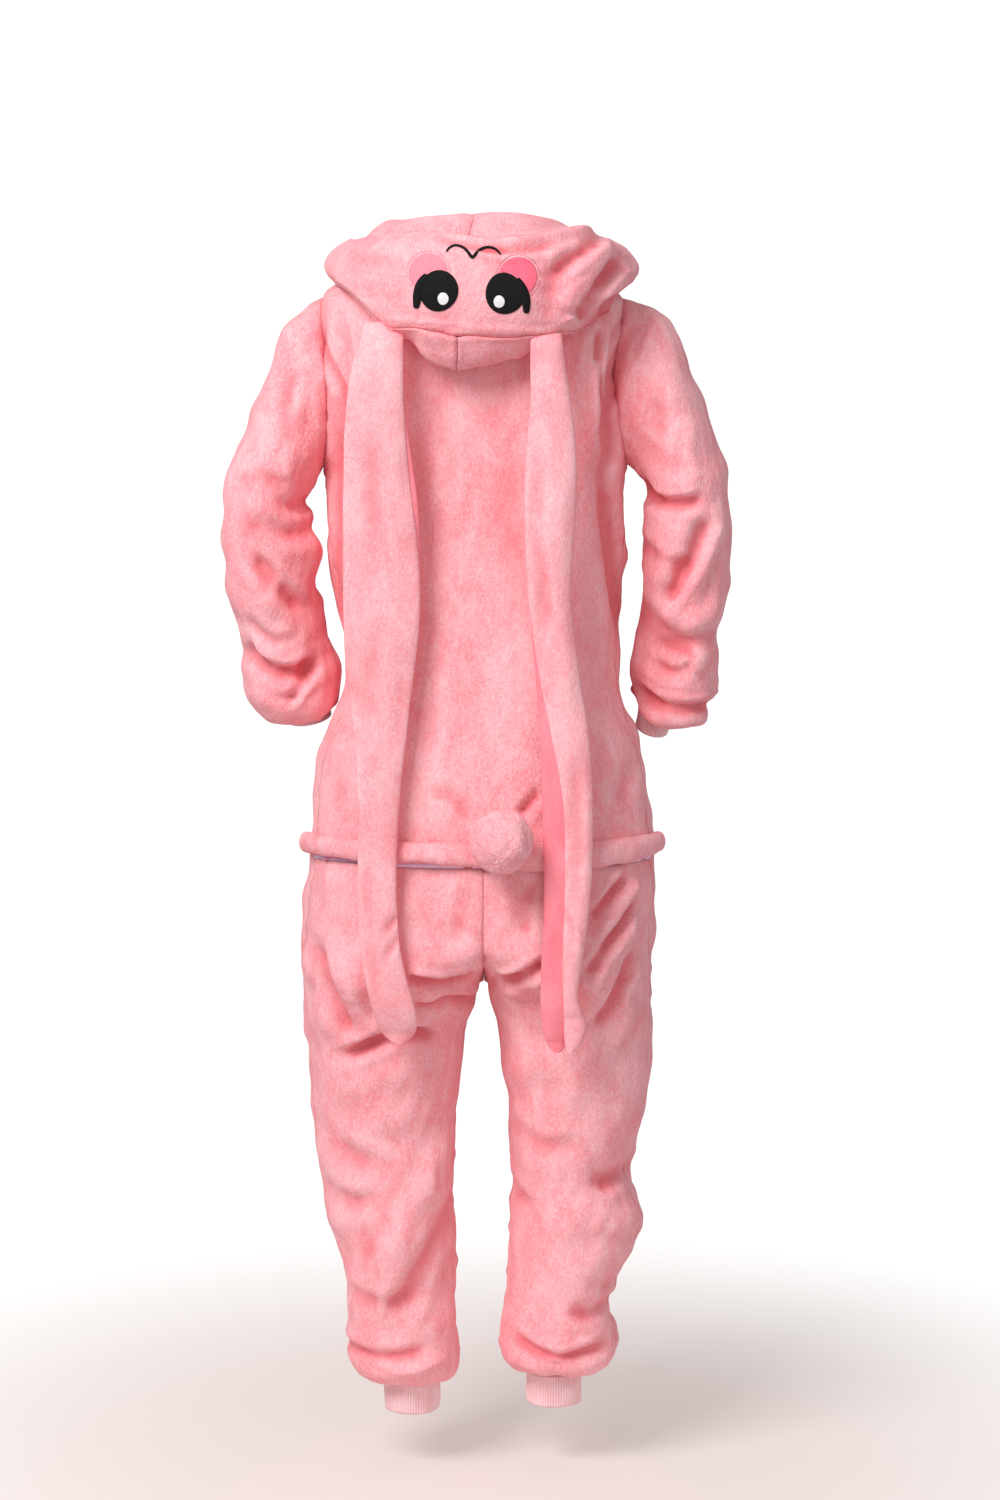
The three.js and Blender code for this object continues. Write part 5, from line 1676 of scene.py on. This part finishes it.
@dataclass
class Ears:
    """Two long ears, each an outer fleece and a lining that shows along one side."""

    layers: tuple[tuple[EarLayer, str], ...] = (
        (
            EarLayer("ear_left", LEFT_OUTER, LEFT_EAR_CUT, 0.0024, 0.007, 0.0),
            "ear_left",
        ),
        (
            EarLayer("ear_lining_left", LEFT_LINING, LEFT_EAR_CUT, 0.0018, 0.0055, 0.0042),
            "ear_left",
        ),
        (
            EarLayer("ear_right", RIGHT_OUTER, RIGHT_EAR_CUT, 0.0024, 0.009, 0.0),
            "ear_right",
        ),
        (
            EarLayer("ear_lining_right", RIGHT_LINING, RIGHT_EAR_CUT, 0.0018, 0.0075, 0.0036),
            "ear_right",
        ),
    )

    def build(self, finishes: Finishes) -> list[Object]:
        """Builds the ears.

        Args:
            finishes: The garment's finishes.

        Returns:
            The four layers.
        """
        return [
            layer.build(
                outer,
                finishes.lining if "lining" in layer.node else finishes.ear,
                "ear_lining" if "lining" in layer.node else "fleece",
            )
            for layer, outer in self.layers
        ]


@dataclass
class RibCuff:
    """A tube of rib knit at a wrist or an ankle.

    rib is the spacing of the ribs, depth the depth of their grooves and thickness the
    knit's, in metres. fewest is the least number of ribs.
    """

    node: str
    cut: Cut
    rib: float = 0.0034
    depth: float = 0.0010
    thickness: float = 0.0014
    fewest: int = 24
    swell: Swell = Swell(31, 0.03, 0.0005, (1, 1, 1))

    def build(self, finishes: Finishes) -> Object:
        """Builds the cuff on its solid's outer wall.

        Args:
            finishes: The garment's finishes.

        Returns:
            The cuff.
        """
        bm = merged_copy(self.node)
        lows, highs = (Vector(c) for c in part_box(self.node))
        middle = (lows + highs) / 2
        axis = self.axis(bm, middle)
        rings = [
            f for f in bm.faces
            if abs(f.normal.dot(axis)) > 0.5
            or f.normal.dot(f.calc_center_median() - middle) < 0
        ]
        bmesh.ops.delete(bm, geom=rings, context="FACES")
        bmesh.ops.join_triangles(
            bm,
            faces=bm.faces,
            angle_face_threshold=math.radians(60),
            angle_shape_threshold=PAIR_SKEW,
        )
        piece = placed(self.node + "_cloth", bm)
        subdivided(piece, 4)
        points, normals = read_points(piece)
        out = points - np.array(middle)
        down = np.array(axis)
        out -= (out @ down)[:, None] * down
        across = np.cross(down, [0.0, 1.0, 0.0])
        across /= np.linalg.norm(across)
        ahead = np.cross(across, down)
        u, v = out @ across, out @ ahead
        half_u, half_v = np.abs(u).max(), np.abs(v).max()
        turn = np.arctan2(v / half_v, u / half_u)
        ribs = max(self.fewest, round(math.pi * (half_u + half_v) / self.rib))
        wave = 0.5 - 0.5 * np.cos(turn * ribs)
        groove = wave**1.5
        slow = self.swell.at(points)
        points = points + normals * (slow - self.depth * groove)[:, None]
        if self.node.startswith("ankle"):
            points = let_down(points, CUFF_DROP)
        write_points(piece, points)
        # Shade is painted into the grooves between the ribs.
        mark(piece, "hollow", groove)
        thicken(piece, self.thickness, "knit")
        finish_piece(piece, finishes.knit, "rib_knit", self.node)
        self.cut.declare(piece)
        return piece

    @staticmethod
    def axis(bm: BMesh, middle: Vector) -> Vector:
        """The direction that the tube runs in.

        Args:
            bm: The cuff's solid.
            middle: Its middle.

        Returns:
            A unit vector down the tube.
        """
        ends = [
            f.normal * f.calc_area()
            for f in bm.faces
            if abs(f.normal.z) > 0.8 and f.calc_center_median().z < middle.z
        ]
        return sum(ends, Vector()).normalized()


ANKLE_CUT = Cut(0.235, 0.039, 0.009, Held.STRETCHED)
CUFFS = (
    RibCuff("wrist_cuff_left", Cut(0.19, 0.044, 0.0082, Held.STRETCHED)),
    RibCuff("wrist_cuff_right", Cut(0.165, 0.044, 0.0071, Held.STRETCHED)),
    RibCuff("ankle_cuff_left", ANKLE_CUT),
    RibCuff("ankle_cuff_right", ANKLE_CUT),
)


@dataclass
class ZipSeat:
    """The zip across the seat and the rolled cover that hangs over it.

    pitch is the spacing of the teeth, tooth their size, chamfer that of their edges,
    raised how far they stand off the tape, stagger how far each row lies from the
    middle, margin how far the teeth stay from the tape's ends, tuck how far the tape
    lies up under the roll, hang how far the roll hangs below its solid and full the
    depth at which the shade painted into its hollows is darkest, all in metres.
    """

    tape: Cut = Cut(0.385, 0.012, 0.0045, Held.LAID, ("seat_leg_left", "seat_leg_right"))
    pitch: float = 0.003
    tooth: tuple[float, float, float] = (0.0011, 0.0011, 0.0026)
    chamfer: float = 0.00025
    raised: float = 0.0003
    stagger: float = 0.0007
    margin: float = 0.006
    tuck: float = -0.0016
    hang: float = 0.0028
    full: float = 0.003
    swells: tuple[Swell, ...] = (
        Swell(37, 0.06, 0.0009, (1, 1, 1)),
        Swell(41, 0.02, 0.0003, (1, 1, 1)),
    )

    def build(self, finishes: Finishes) -> None:
        """Builds the roll, the tape, the teeth and the slider.

        Args:
            finishes: The garment's finishes.
        """
        cover = closed_cloth("zip_cover", 3, 70)
        points, normals = read_points(cover)
        moved = sum(s.at(points) for s in self.swells)
        points = points + normals * moved[:, None]
        points[:, 2] -= self.hang
        write_points(cover, points)
        # Shade is painted into the roll's hollows, at most half strength.
        mark(cover, "hollow", np.clip(-moved / self.full, 0, 0.5))
        finish_piece(cover, finishes.body, "fleece", "zip_cover")
        tape = closed_cloth("seat_zip", 1, 40)
        points, _ = read_points(tape)
        points[:, 2] += self.tuck
        write_points(tape, points)
        finish_piece(tape, finishes.tape, "zip_tape", "seat_zip")
        self.tape.declare(tape)
        self.teeth(tape, finishes)
        self.slider(finishes)

    def teeth(self, tape: Object, finishes: Finishes) -> None:
        """Two rows of moulded teeth that mesh along the middle of the tape.

        Args:
            tape: The finished tape.
            finishes: The garment's finishes.
        """
        tree = wall_tree(tape.data)
        lows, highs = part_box("seat_zip")
        middle = (lows[2] + highs[2]) / 2 + self.tuck
        bm = bmesh.new()
        ends = (lows[0] + self.margin, highs[0] - self.margin)
        for number, x in enumerate(np.arange(*ends, self.pitch / 2)):
            start = Vector((x, -1.0, middle))
            near, normal, _, _ = tree.ray_cast(start, Vector((0, 1, 0)))
            if near is None:
                continue
            tooth = bmesh.ops.create_cube(bm, size=1.0)
            turn = (-normal).to_track_quat("Y", "Z").to_matrix().to_4x4()
            side = self.stagger if number % 2 else -self.stagger
            shape = (
                Matrix.Translation(near + normal * self.raised)
                @ turn
                @ Matrix.Translation((0, 0, side))
                @ Matrix.Diagonal((*self.tooth, 1.0))
            )
            bmesh.ops.transform(bm, verts=tooth["verts"], matrix=shape)
        bmesh.ops.bevel(
            bm, geom=bm.edges[:], offset=self.chamfer, segments=1, profile=0.5,
            affect="EDGES", material=-1,
        )
        piece = placed("zip_teeth", bm)
        finish_piece(piece, finishes.teeth, "zip_tape")

    def slider(self, finishes: Finishes) -> None:
        """The slider: a waisted body, a bridge and a pull with a hole.

        Args:
            finishes: The garment's finishes.
        """
        lows, highs = (Vector(c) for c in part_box("seat_zip_slider"))
        middle, size = (lows + highs) / 2, highs - lows
        bm = bmesh.new()
        body = bmesh.ops.create_cube(bm, size=1.0)["verts"]
        for vertex in body:
            if vertex.co.x > 0:
                vertex.co.z *= 0.7
            vertex.co = Vector(
                (vertex.co.x * size.x, vertex.co.y * size.y * 0.45, vertex.co.z * size.z)
            )
        bridge = bmesh.ops.create_cube(bm, size=1.0)["verts"]
        bmesh.ops.transform(
            bm,
            verts=bridge,
            matrix=Matrix.Translation((0, -size.y * 0.3, 0))
            @ Matrix.Diagonal((size.x * 0.6, size.y * 0.25, size.z * 0.3, 1.0)),
        )
        bmesh.ops.bevel(
            bm, geom=bm.edges[:], offset=0.0006, segments=3, profile=0.5, affect="EDGES",
            material=-1,
        )
        bmesh.ops.translate(bm, verts=bm.verts, vec=middle)
        piece = placed("zip_slider_body", bm)
        finish_piece(piece, finishes.slider, "zip_slider", "seat_zip_slider")


@dataclass
class PomTail:
    """The round tail of long plush, with a lumpy tufted surface.

    Each layer of its surface is (how fine, how high in metres); slack is how far the
    surface lies within the radius and full the depth at which the shade painted into its
    hollows is darkest.
    """

    radius: float = 0.0355
    lump: tuple[float, float] = (1.9, 0.0026)
    tuft: tuple[float, float] = (9.0, 0.0006)
    fluff: tuple[float, float] = (26.0, 0.0005)
    slack: float = 0.0008
    full: float = 0.006

    def build(self, finishes: Finishes) -> Object:
        """Builds the tail.

        Args:
            finishes: The garment's finishes.

        Returns:
            The tail.
        """
        lows, highs = (Vector(c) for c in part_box("tail"))
        middle = (lows + highs) / 2
        bm = bmesh.new()
        bmesh.ops.create_icosphere(bm, subdivisions=6, radius=self.radius)
        for vertex in bm.verts:
            way = vertex.co.normalized()
            lump = noise.noise(way * self.lump[0]) * self.lump[1]
            tuft = noise.noise(way * self.tuft[0] + Vector((3, 1, 8))) * self.tuft[1]
            fluff = noise.noise(way * self.fluff[0]) * self.fluff[1]
            vertex.co = way * (self.radius + lump + tuft + fluff - self.slack)
        bmesh.ops.translate(bm, verts=bm.verts, vec=middle)
        piece = placed("tail_plush", bm)
        points, _ = read_points(piece)
        # Shade is painted where the surface lies below its radius, at most half strength.
        deep = np.linalg.norm(points - np.array(middle), axis=1)
        deep = (self.radius - self.slack - deep) / self.full
        mark(piece, "hollow", np.clip(deep, 0, 0.5))
        finish_piece(piece, finishes.tail, "fleece", "tail")
        return piece


# A stitch's spacing, length and thickness, round the cheeks and down the placket.
CHEEK_STITCH = (0.0024, 0.0009, 0.0008)
PLACKET_STITCH = (0.0027, 0.0011, 0.0008)


@dataclass
class Face:
    """The applied face on the hood's crown: eyes, lights, cheeks and a thin mouth.

    Places are (x, height above the floor), sizes half-widths and half-heights, all in
    metres. loops are the distances from a patch's middle at which it has a ring of
    places, as shares of its radius. border is the height of its stitched edge.
    ring_size is that of the ring of stitches against the cheek's, ring_lift its height.
    """

    eyes: tuple[tuple[str, float, float], ...] = (
        ("left", -0.0483, 1.3396),
        ("right", 0.0235, 1.3364),
    )
    eye_size: tuple[float, float] = (0.0212, 0.0226)
    lashes: tuple[tuple[str, tuple[tuple[float, float], ...]], ...] = (
        ("left", (
            (-0.0612, 1.3566), (-0.0681, 1.3470), (-0.0711, 1.3364), (-0.0719, 1.3278),
            (-0.0727, 1.3204),
        )),
        ("right", (
            (0.0364, 1.3523), (0.0428, 1.3417), (0.0459, 1.3310), (0.0465, 1.3225),
            (0.0464, 1.3150),
        )),
    )
    lights: tuple[tuple[str, float, float], ...] = (
        ("left", -0.0433, 1.3305),
        ("right", 0.0171, 1.3273),
    )
    light_size: tuple[float, float] = (0.0060, 0.0067)
    cheeks: tuple[tuple[str, float, float], ...] = (
        ("left", -0.0595, 1.3587),
        ("right", 0.0375, 1.3545),
    )
    cheek_size: tuple[float, float] = (0.0208, 0.0208)
    mouth: tuple[tuple[float, float], ...] = (
        (-0.0397, 1.3811), (-0.0365, 1.3855), (-0.0300, 1.3883), (-0.0215, 1.3858),
        (-0.0161, 1.3802), (-0.0133, 1.3762), (-0.0115, 1.3751), (-0.0097, 1.3766),
        (-0.0043, 1.3832), (0.0042, 1.3862), (0.0128, 1.3843), (0.0192, 1.3779),
    )
    loops: tuple[float, ...] = (0, 0.2, 0.4, 0.6, 0.76, 0.85, 0.92, 0.97, 1)
    border: float = 0.00035
    ring_size: float = 1.13
    ring_lift: float = 0.0007
    stroke_thickness: float = 0.0006

    def lay(self, tree: BVHTree, x: float, z: float, lift: float) -> Vector:
        """Finds the place on the crown behind a point of the face.

        Args:
            tree: The crown's outer wall.
            x: To the side.
            z: Height above the floor.
            lift: How far the point stands off the crown.

        Returns:
            The place in the row frame.
        """
        start = Vector((x, -1.0, z - SHOULDER_HEIGHT))
        hit = tree.ray_cast(start, Vector((0, 1, 0)))[0]
        if hit is None:
            hit = tree.find_nearest(Vector((x, -0.2, z - SHOULDER_HEIGHT)))[0]
        return hit - Vector((0, lift, 0))

    def patch(
        self, name: str, tree: BVHTree, middle: tuple[float, float],
        size: tuple[float, float], lift: float, thickness: float,
    ) -> Object:
        """A round patch of cloth with a raised stitched border.

        Args:
            name: The piece's name.
            tree: The crown's outer wall.
            middle: Its place on the face.
            size: Its half-width and half-height.
            lift: How far it stands off the crown.
            thickness: The cloth's.

        Returns:
            The patch.
        """
        bm = bmesh.new()
        line = [bm.verts.new((r, 0, 0)) for r in self.loops]
        edges = [bm.edges.new(pair) for pair in zip(line, line[1:])]
        bmesh.ops.spin(
            bm, geom=line + edges, angle=2 * math.pi, steps=64, axis=(0, -1, 0),
            cent=(0, 0, 0), use_merge=True,
        )
        bmesh.ops.remove_doubles(bm, verts=bm.verts, dist=1e-4)
        for vertex in bm.verts:
            u, v = vertex.co.x, vertex.co.z
            r = math.hypot(u, v)
            wobble = 1 + 0.012 * math.sin(3 * math.atan2(v, u) + len(name))
            border = self.border * math.exp(-(((r - 0.92) / 0.07) ** 2))
            dome = 0.0006 * (1 - r * r) - 0.0004 * r**12
            vertex.co = self.lay(
                tree,
                middle[0] + size[0] * u * wobble,
                middle[1] + size[1] * v * wobble,
                lift + border + dome,
            )
        face_back(bm)
        piece = placed(name, bm)
        thicken(piece, thickness)
        return piece

    def stroke(
        self, name: str, tree: BVHTree, line: Sequence[Sequence[float]],
        width: float, lift: float, point: float = 0.35,
    ) -> Object:
        """A thin stitched line that narrows towards its ends.

        Args:
            name: The piece's name.
            tree: The crown's outer wall.
            line: Its places on the face.
            width: Its full width.
            lift: How far it stands off the crown.
            point: How narrow its ends are, as a share of the width.

        Returns:
            The line.
        """
        curve = smooth_line(line, 6)
        way = np.gradient(curve, axis=0)
        way /= np.linalg.norm(way, axis=1)[:, None]
        bm = bmesh.new()
        rows = len(curve) - 1
        bmesh.ops.create_grid(bm, x_segments=rows, y_segments=4, size=1.0)
        for vertex in bm.verts:
            i = round((vertex.co.x + 1) / 2 * rows)
            across = vertex.co.y
            share = i / rows
            taper = point + (1 - point) * math.sin(math.pi * share) ** 0.5
            half = width / 2 * taper
            x = curve[i][0] - way[i][1] * across * half
            z = curve[i][1] + way[i][0] * across * half
            vertex.co = self.lay(tree, x, z, lift + 0.0005 * (1 - across**2))
        face_back(bm)
        piece = placed(name, bm)
        thicken(piece, self.stroke_thickness)
        return piece

    def ring(
        self, name: str, tree: BVHTree, middle: tuple[float, float],
        finishes: Finishes, pale: bool,
    ) -> None:
        """A ring of running stitches round a cheek.

        Args:
            name: The piece's name.
            tree: The crown's outer wall.
            middle: The cheek's place on the face.
            finishes: The garment's finishes.
            pale: Whether the thread is the pale one.
        """
        round_ = [
            self.lay(
                tree,
                middle[0] + self.cheek_size[0] * self.ring_size * math.cos(turn),
                middle[1] + self.cheek_size[1] * self.ring_size * math.sin(turn),
                self.ring_lift,
            )
            for turn in np.linspace(0, 2 * math.pi, 121)
        ]
        piece = stitch_row(name, round_, *CHEEK_STITCH)
        finish_piece(
            piece, finishes.thread if pale else finishes.rose_thread, "cheek_cloth"
        )

    def build(self, crown: Object, finishes: Finishes) -> None:
        """Builds the face on the crown.

        Args:
            crown: The finished crown.
            finishes: The garment's finishes.
        """
        tree = wall_tree(crown.data)
        for side, x, z in self.eyes:
            eye = self.patch(
                "eye_" + side + "_patch", tree, (x, z), self.eye_size, 0.0012, 0.0009
            )
            finish_piece(eye, finishes.black, "black_cloth", "eye_" + side)
        for side, line in self.lashes:
            lash = self.stroke("lash_" + side, tree, line, 0.0092, 0.0014, 0.45)
            finish_piece(lash, finishes.black, "black_cloth")
        for side, x, z in self.lights:
            light = self.patch(
                "eye_light_" + side + "_patch", tree, (x, z), self.light_size, 0.0026, 0.0008
            )
            finish_piece(light, finishes.white, "white_cloth", "eye_light_" + side)
        for side, x, z in self.cheeks:
            cheek = self.patch(
                "cheek_" + side + "_patch", tree, (x, z), self.cheek_size, 0.0008, 0.0006
            )
            pale = side == "left"
            finish_piece(
                cheek, finishes.pale_cheek if pale else finishes.cheek, "cheek_cloth",
                "cheek_" + side,
            )
            self.ring("cheek_" + side + "_stitches", tree, (x, z), finishes, pale)
        mouth = self.stroke("mouth_stitch", tree, self.mouth, 0.0034, 0.0009, 0.5)
        finish_piece(mouth, finishes.black, "black_cloth", "mouth")


@dataclass
class Front:
    """The placket down the front and its five buttons.

    margin is how far the stitches stay from the placket's ends and inset how far from
    its sides. disc, hole, hole_place and height are a button's, and rim the section of
    its rim, (from the middle, height). All are in metres.
    """

    placket: Cut = Cut(0.037, 0.615, 0.022, Held.HUNG)
    swell: Swell = Swell(43, 0.07, 0.0006)
    margin: float = 0.008
    inset: float = 0.0045
    buttons: int = 5
    disc: float = 0.0086
    hole: float = 0.001
    hole_place: float = 0.0019
    height: float = 0.0018
    rim: tuple[tuple[float, float], ...] = (
        (0.0084, 0.0), (0.0094, 0.0), (0.01, 0.0008), (0.01, 0.0022),
        (0.0094, 0.0032), (0.0086, 0.0034), (0.0079, 0.0028), (0.0076, 0.0012),
    )

    def build(self, finishes: Finishes) -> None:
        """Builds the placket and the buttons.

        Args:
            finishes: The garment's finishes.
        """
        band = closed_cloth("placket", 2)
        points, _ = read_points(band)
        points[:, 1] += self.swell.at(points)
        write_points(band, points)
        finish_piece(band, finishes.body, "fleece", "placket")
        self.placket.declare(band)
        self.topstitch(band, finishes)
        for number in range(1, self.buttons + 1):
            self.button(number, finishes)

    def topstitch(self, band: Object, finishes: Finishes) -> None:
        """Two rows of stitches down the placket.

        Args:
            band: The finished placket.
            finishes: The garment's finishes.
        """
        tree = wall_tree(band.data)
        lows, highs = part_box("placket")
        for side in (-1, 1):
            line = []
            for z in np.linspace(highs[2] - self.margin, lows[2] + self.margin, 160):
                hits = []
                for x in np.linspace(lows[0], highs[0], 60):
                    hit = tree.ray_cast(Vector((x, 1.0, z)), Vector((0, -1, 0)))[0]
                    if hit is not None:
                        hits.append(hit)
                if len(hits) < 8:
                    continue
                edge = hits[0] if side < 0 else hits[-1]
                spot = tree.ray_cast(
                    Vector((edge.x - side * self.inset, 1.0, z)), Vector((0, -1, 0))
                )[0]
                if spot is not None:
                    line.append(spot + Vector((0, 0.0003, 0)))
            piece = stitch_row(
                f"placket_stitches_{'left' if side < 0 else 'right'}", line, *PLACKET_STITCH
            )
            finish_piece(piece, finishes.thread, "fleece")

    def button(self, number: int, finishes: Finishes) -> None:
        """Builds a four-hole button with a raised rim.

        Args:
            number: Which of the buttons.
            finishes: The garment's finishes.
        """
        node = f"button_{number}"
        lows, highs = (Vector(c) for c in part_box(node))
        middle = (lows + highs) / 2
        bm = bmesh.new()
        bmesh.ops.create_circle(bm, segments=48, radius=self.disc)
        for x, y in ((1, 1), (-1, 1), (-1, -1), (1, -1)):
            hole = bmesh.ops.create_circle(bm, segments=12, radius=self.hole)["verts"]
            place = (x * self.hole_place, y * self.hole_place, 0)
            bmesh.ops.translate(bm, verts=hole, vec=place)
        bmesh.ops.triangle_fill(bm, use_beauty=True, use_dissolve=False, edges=bm.edges)
        bmesh.ops.recalc_face_normals(bm, faces=bm.faces)
        floor = bmesh.ops.extrude_face_region(bm, geom=bm.faces[:])
        top = [g for g in floor["geom"] if isinstance(g, bmesh.types.BMVert)]
        bmesh.ops.translate(bm, verts=top, vec=(0, 0, self.height))
        bmesh.ops.recalc_face_normals(bm, faces=bm.faces)
        profile = [bm.verts.new((x, 0, z)) for x, z in self.rim]
        lines = [bm.edges.new(p) for p in zip(profile, profile[1:] + profile[:1])]
        bmesh.ops.spin(
            bm, geom=profile + lines, angle=2 * math.pi, steps=48, axis=(0, 0, 1),
            cent=(0, 0, 0), use_merge=True,
        )
        bmesh.ops.recalc_face_normals(bm, faces=bm.faces)
        turn = Matrix.Rotation(math.radians(-90), 4, "X")
        bmesh.ops.transform(bm, verts=bm.verts, matrix=turn)
        bmesh.ops.translate(bm, verts=bm.verts, vec=middle - Vector((0, self.height, 0)))
        piece = placed(node + "_moulded", bm)
        finish_piece(piece, finishes.button, "buttons", node)


@dataclass
class Studio:
    """Pale floor, soft light and the camera.

    The camera stands where the photograph was taken from: lens and sensor are in
    millimetres, places in metres from the origin between the shoulders.
    """

    camera_place: tuple[float, float, float] = (0.018, -4.5, -0.115)
    pitch: float = 5.4
    lens: float = 95.5
    floor_radius: float = 2.0

    def build(self) -> None:
        """Builds the floor, the lights and the camera."""
        self.floor()
        self.lamps()
        self.camera()

    def floor(self) -> None:
        """Lays a round floor that pales to white away from the garment."""
        bm = bmesh.new()
        bmesh.ops.create_circle(bm, cap_ends=True, segments=96, radius=self.floor_radius)
        bmesh.ops.translate(bm, verts=bm.verts, vec=(0, 0, -SHOULDER_HEIGHT))
        floor = placed("studio_floor", bm)
        # Seamless paper: matt, off-white.
        material, tree, shader = blank("studio_paper")
        place = add(tree, "ShaderNodeTexCoord", {}).outputs["Object"]
        flat = add(
            tree, "ShaderNodeMapping", {"Vector": place, "Scale": (1.0, 0.8, 0.0)}
        ).outputs["Vector"]
        away = add(
            tree, "ShaderNodeVectorMath", {0: flat}, operation="LENGTH"
        ).outputs["Value"]
        grain = add(
            tree, "ShaderNodeTexNoise", {"Vector": place, "Scale": 900.0}
        ).outputs["Fac"]
        paper = add(
            tree,
            "ShaderNodeMix",
            {0: grain, FROM: linear("#c9bfbc"), TO: linear("#c2b8b5")},
            data_type="RGBA",
        )
        tree.links.new(paper.outputs[MIXED], shader.inputs["Base Color"])
        shader.inputs["Roughness"].default_value = 1.0
        shader.inputs["Specular IOR Level"].default_value = 0.0
        # The paper glows a little, so that the garment's shadow stays faint.
        shader.inputs["Emission Color"].default_value = linear("#fff2ee")
        shader.inputs["Emission Strength"].default_value = 0.34
        clear = add(tree, "ShaderNodeBsdfTransparent", {})
        edge = add(
            tree,
            "ShaderNodeMapRange",
            {"Value": away, "From Min": 0.25, "From Max": 1.25},
            interpolation_type="SMOOTHSTEP",
        )
        fade = add(
            tree,
            "ShaderNodeMixShader",
            {0: edge.outputs["Result"], 1: shader.outputs[0], 2: clear.outputs[0]},
        )
        tree.links.new(fade.outputs[0], tree.nodes["Material Output"].inputs["Surface"])
        floor.data.materials.append(material)

    def lamps(self) -> None:
        """Sets a white room and two large soft lamps."""
        world = bpy.data.worlds.new("white_room")
        world.use_nodes = True
        tree = world.node_tree
        background = tree.nodes["Background"]
        background.inputs["Color"].default_value = (1.0, 1.0, 1.0, 1.0)
        # The paper behind is lit to white, brighter than the light it sends back.
        seen = add(tree, "ShaderNodeLightPath", {}).outputs["Is Camera Ray"]
        strength = add(
            tree, "ShaderNodeMapRange", {"Value": seen, "To Min": 0.44, "To Max": 1.1}
        )
        tree.links.new(strength.outputs["Result"], background.inputs["Strength"])
        bpy.context.scene.world = world
        # Each lamp's name, place, power in watts and size in metres.
        for name, place, energy, size in (
            ("key", (-1.8, -2.8, 2.1), 150.0, 1.9),
            ("fill", (1.2, -3.6, 0.4), 17.0, 2.4),
        ):
            data = bpy.data.lights.new(name, "AREA")
            data.energy = energy
            data.size = size
            lamp = bpy.data.objects.new(name, data)
            lamp.location = place
            way = Vector((0, 0, -0.5)) - Vector(place)
            lamp.rotation_euler = way.to_track_quat("-Z", "Y").to_euler()
            bpy.context.scene.collection.objects.link(lamp)

    def camera(self) -> None:
        """Places the camera."""
        data = bpy.data.cameras.new("camera")
        data.sensor_width = 36.0
        data.lens = self.lens
        camera = bpy.data.objects.new("camera", data)
        camera.location = self.camera_place
        camera.rotation_euler = (math.radians(90 - self.pitch), 0.0, 0.0)
        bpy.context.scene.collection.objects.link(camera)
        bpy.context.scene.camera = camera
        bpy.context.scene.view_settings.view_transform = "Standard"


def main() -> None:
    """Builds the onesie in order."""
    logging.basicConfig(level=logging.INFO, format="%(name)s %(message)s")
    finishes = Finishes.make()
    Studio().build()
    body, hood = Body(), Hood()
    draped = Drape(body.creases())
    slack = Drape(
        body.creases(),
        (
            Swell(3, 0.150, 0.0016),
            Swell(13, 0.070, 0.0014, (0.8, 0.8, 1.5)),
            Swell(11, 0.026, 0.0004, (1.0, 1.0, 0.8)),
        ),
    )
    hooded = hood.drape()
    bag = (*hood.napes, hood.crown)
    panels = Sewing().build(
        (*body.panels, *bag),
        {p.node: draped if p.node == "back" else slack for p in body.panels}
        | {p.node: hooded for p in bag},
        {p.node: finishes.body for p in body.panels} | {p.node: finishes.hood for p in bag},
    )
    Face().build(panels["hood_crown"], finishes)
    Ears().build(finishes)
    for cuff in CUFFS:
        cuff.build(finishes)
    ZipSeat().build(finishes)
    PomTail().build(finishes)
    Front().build(finishes)


if __name__ == "__main__":
    main()
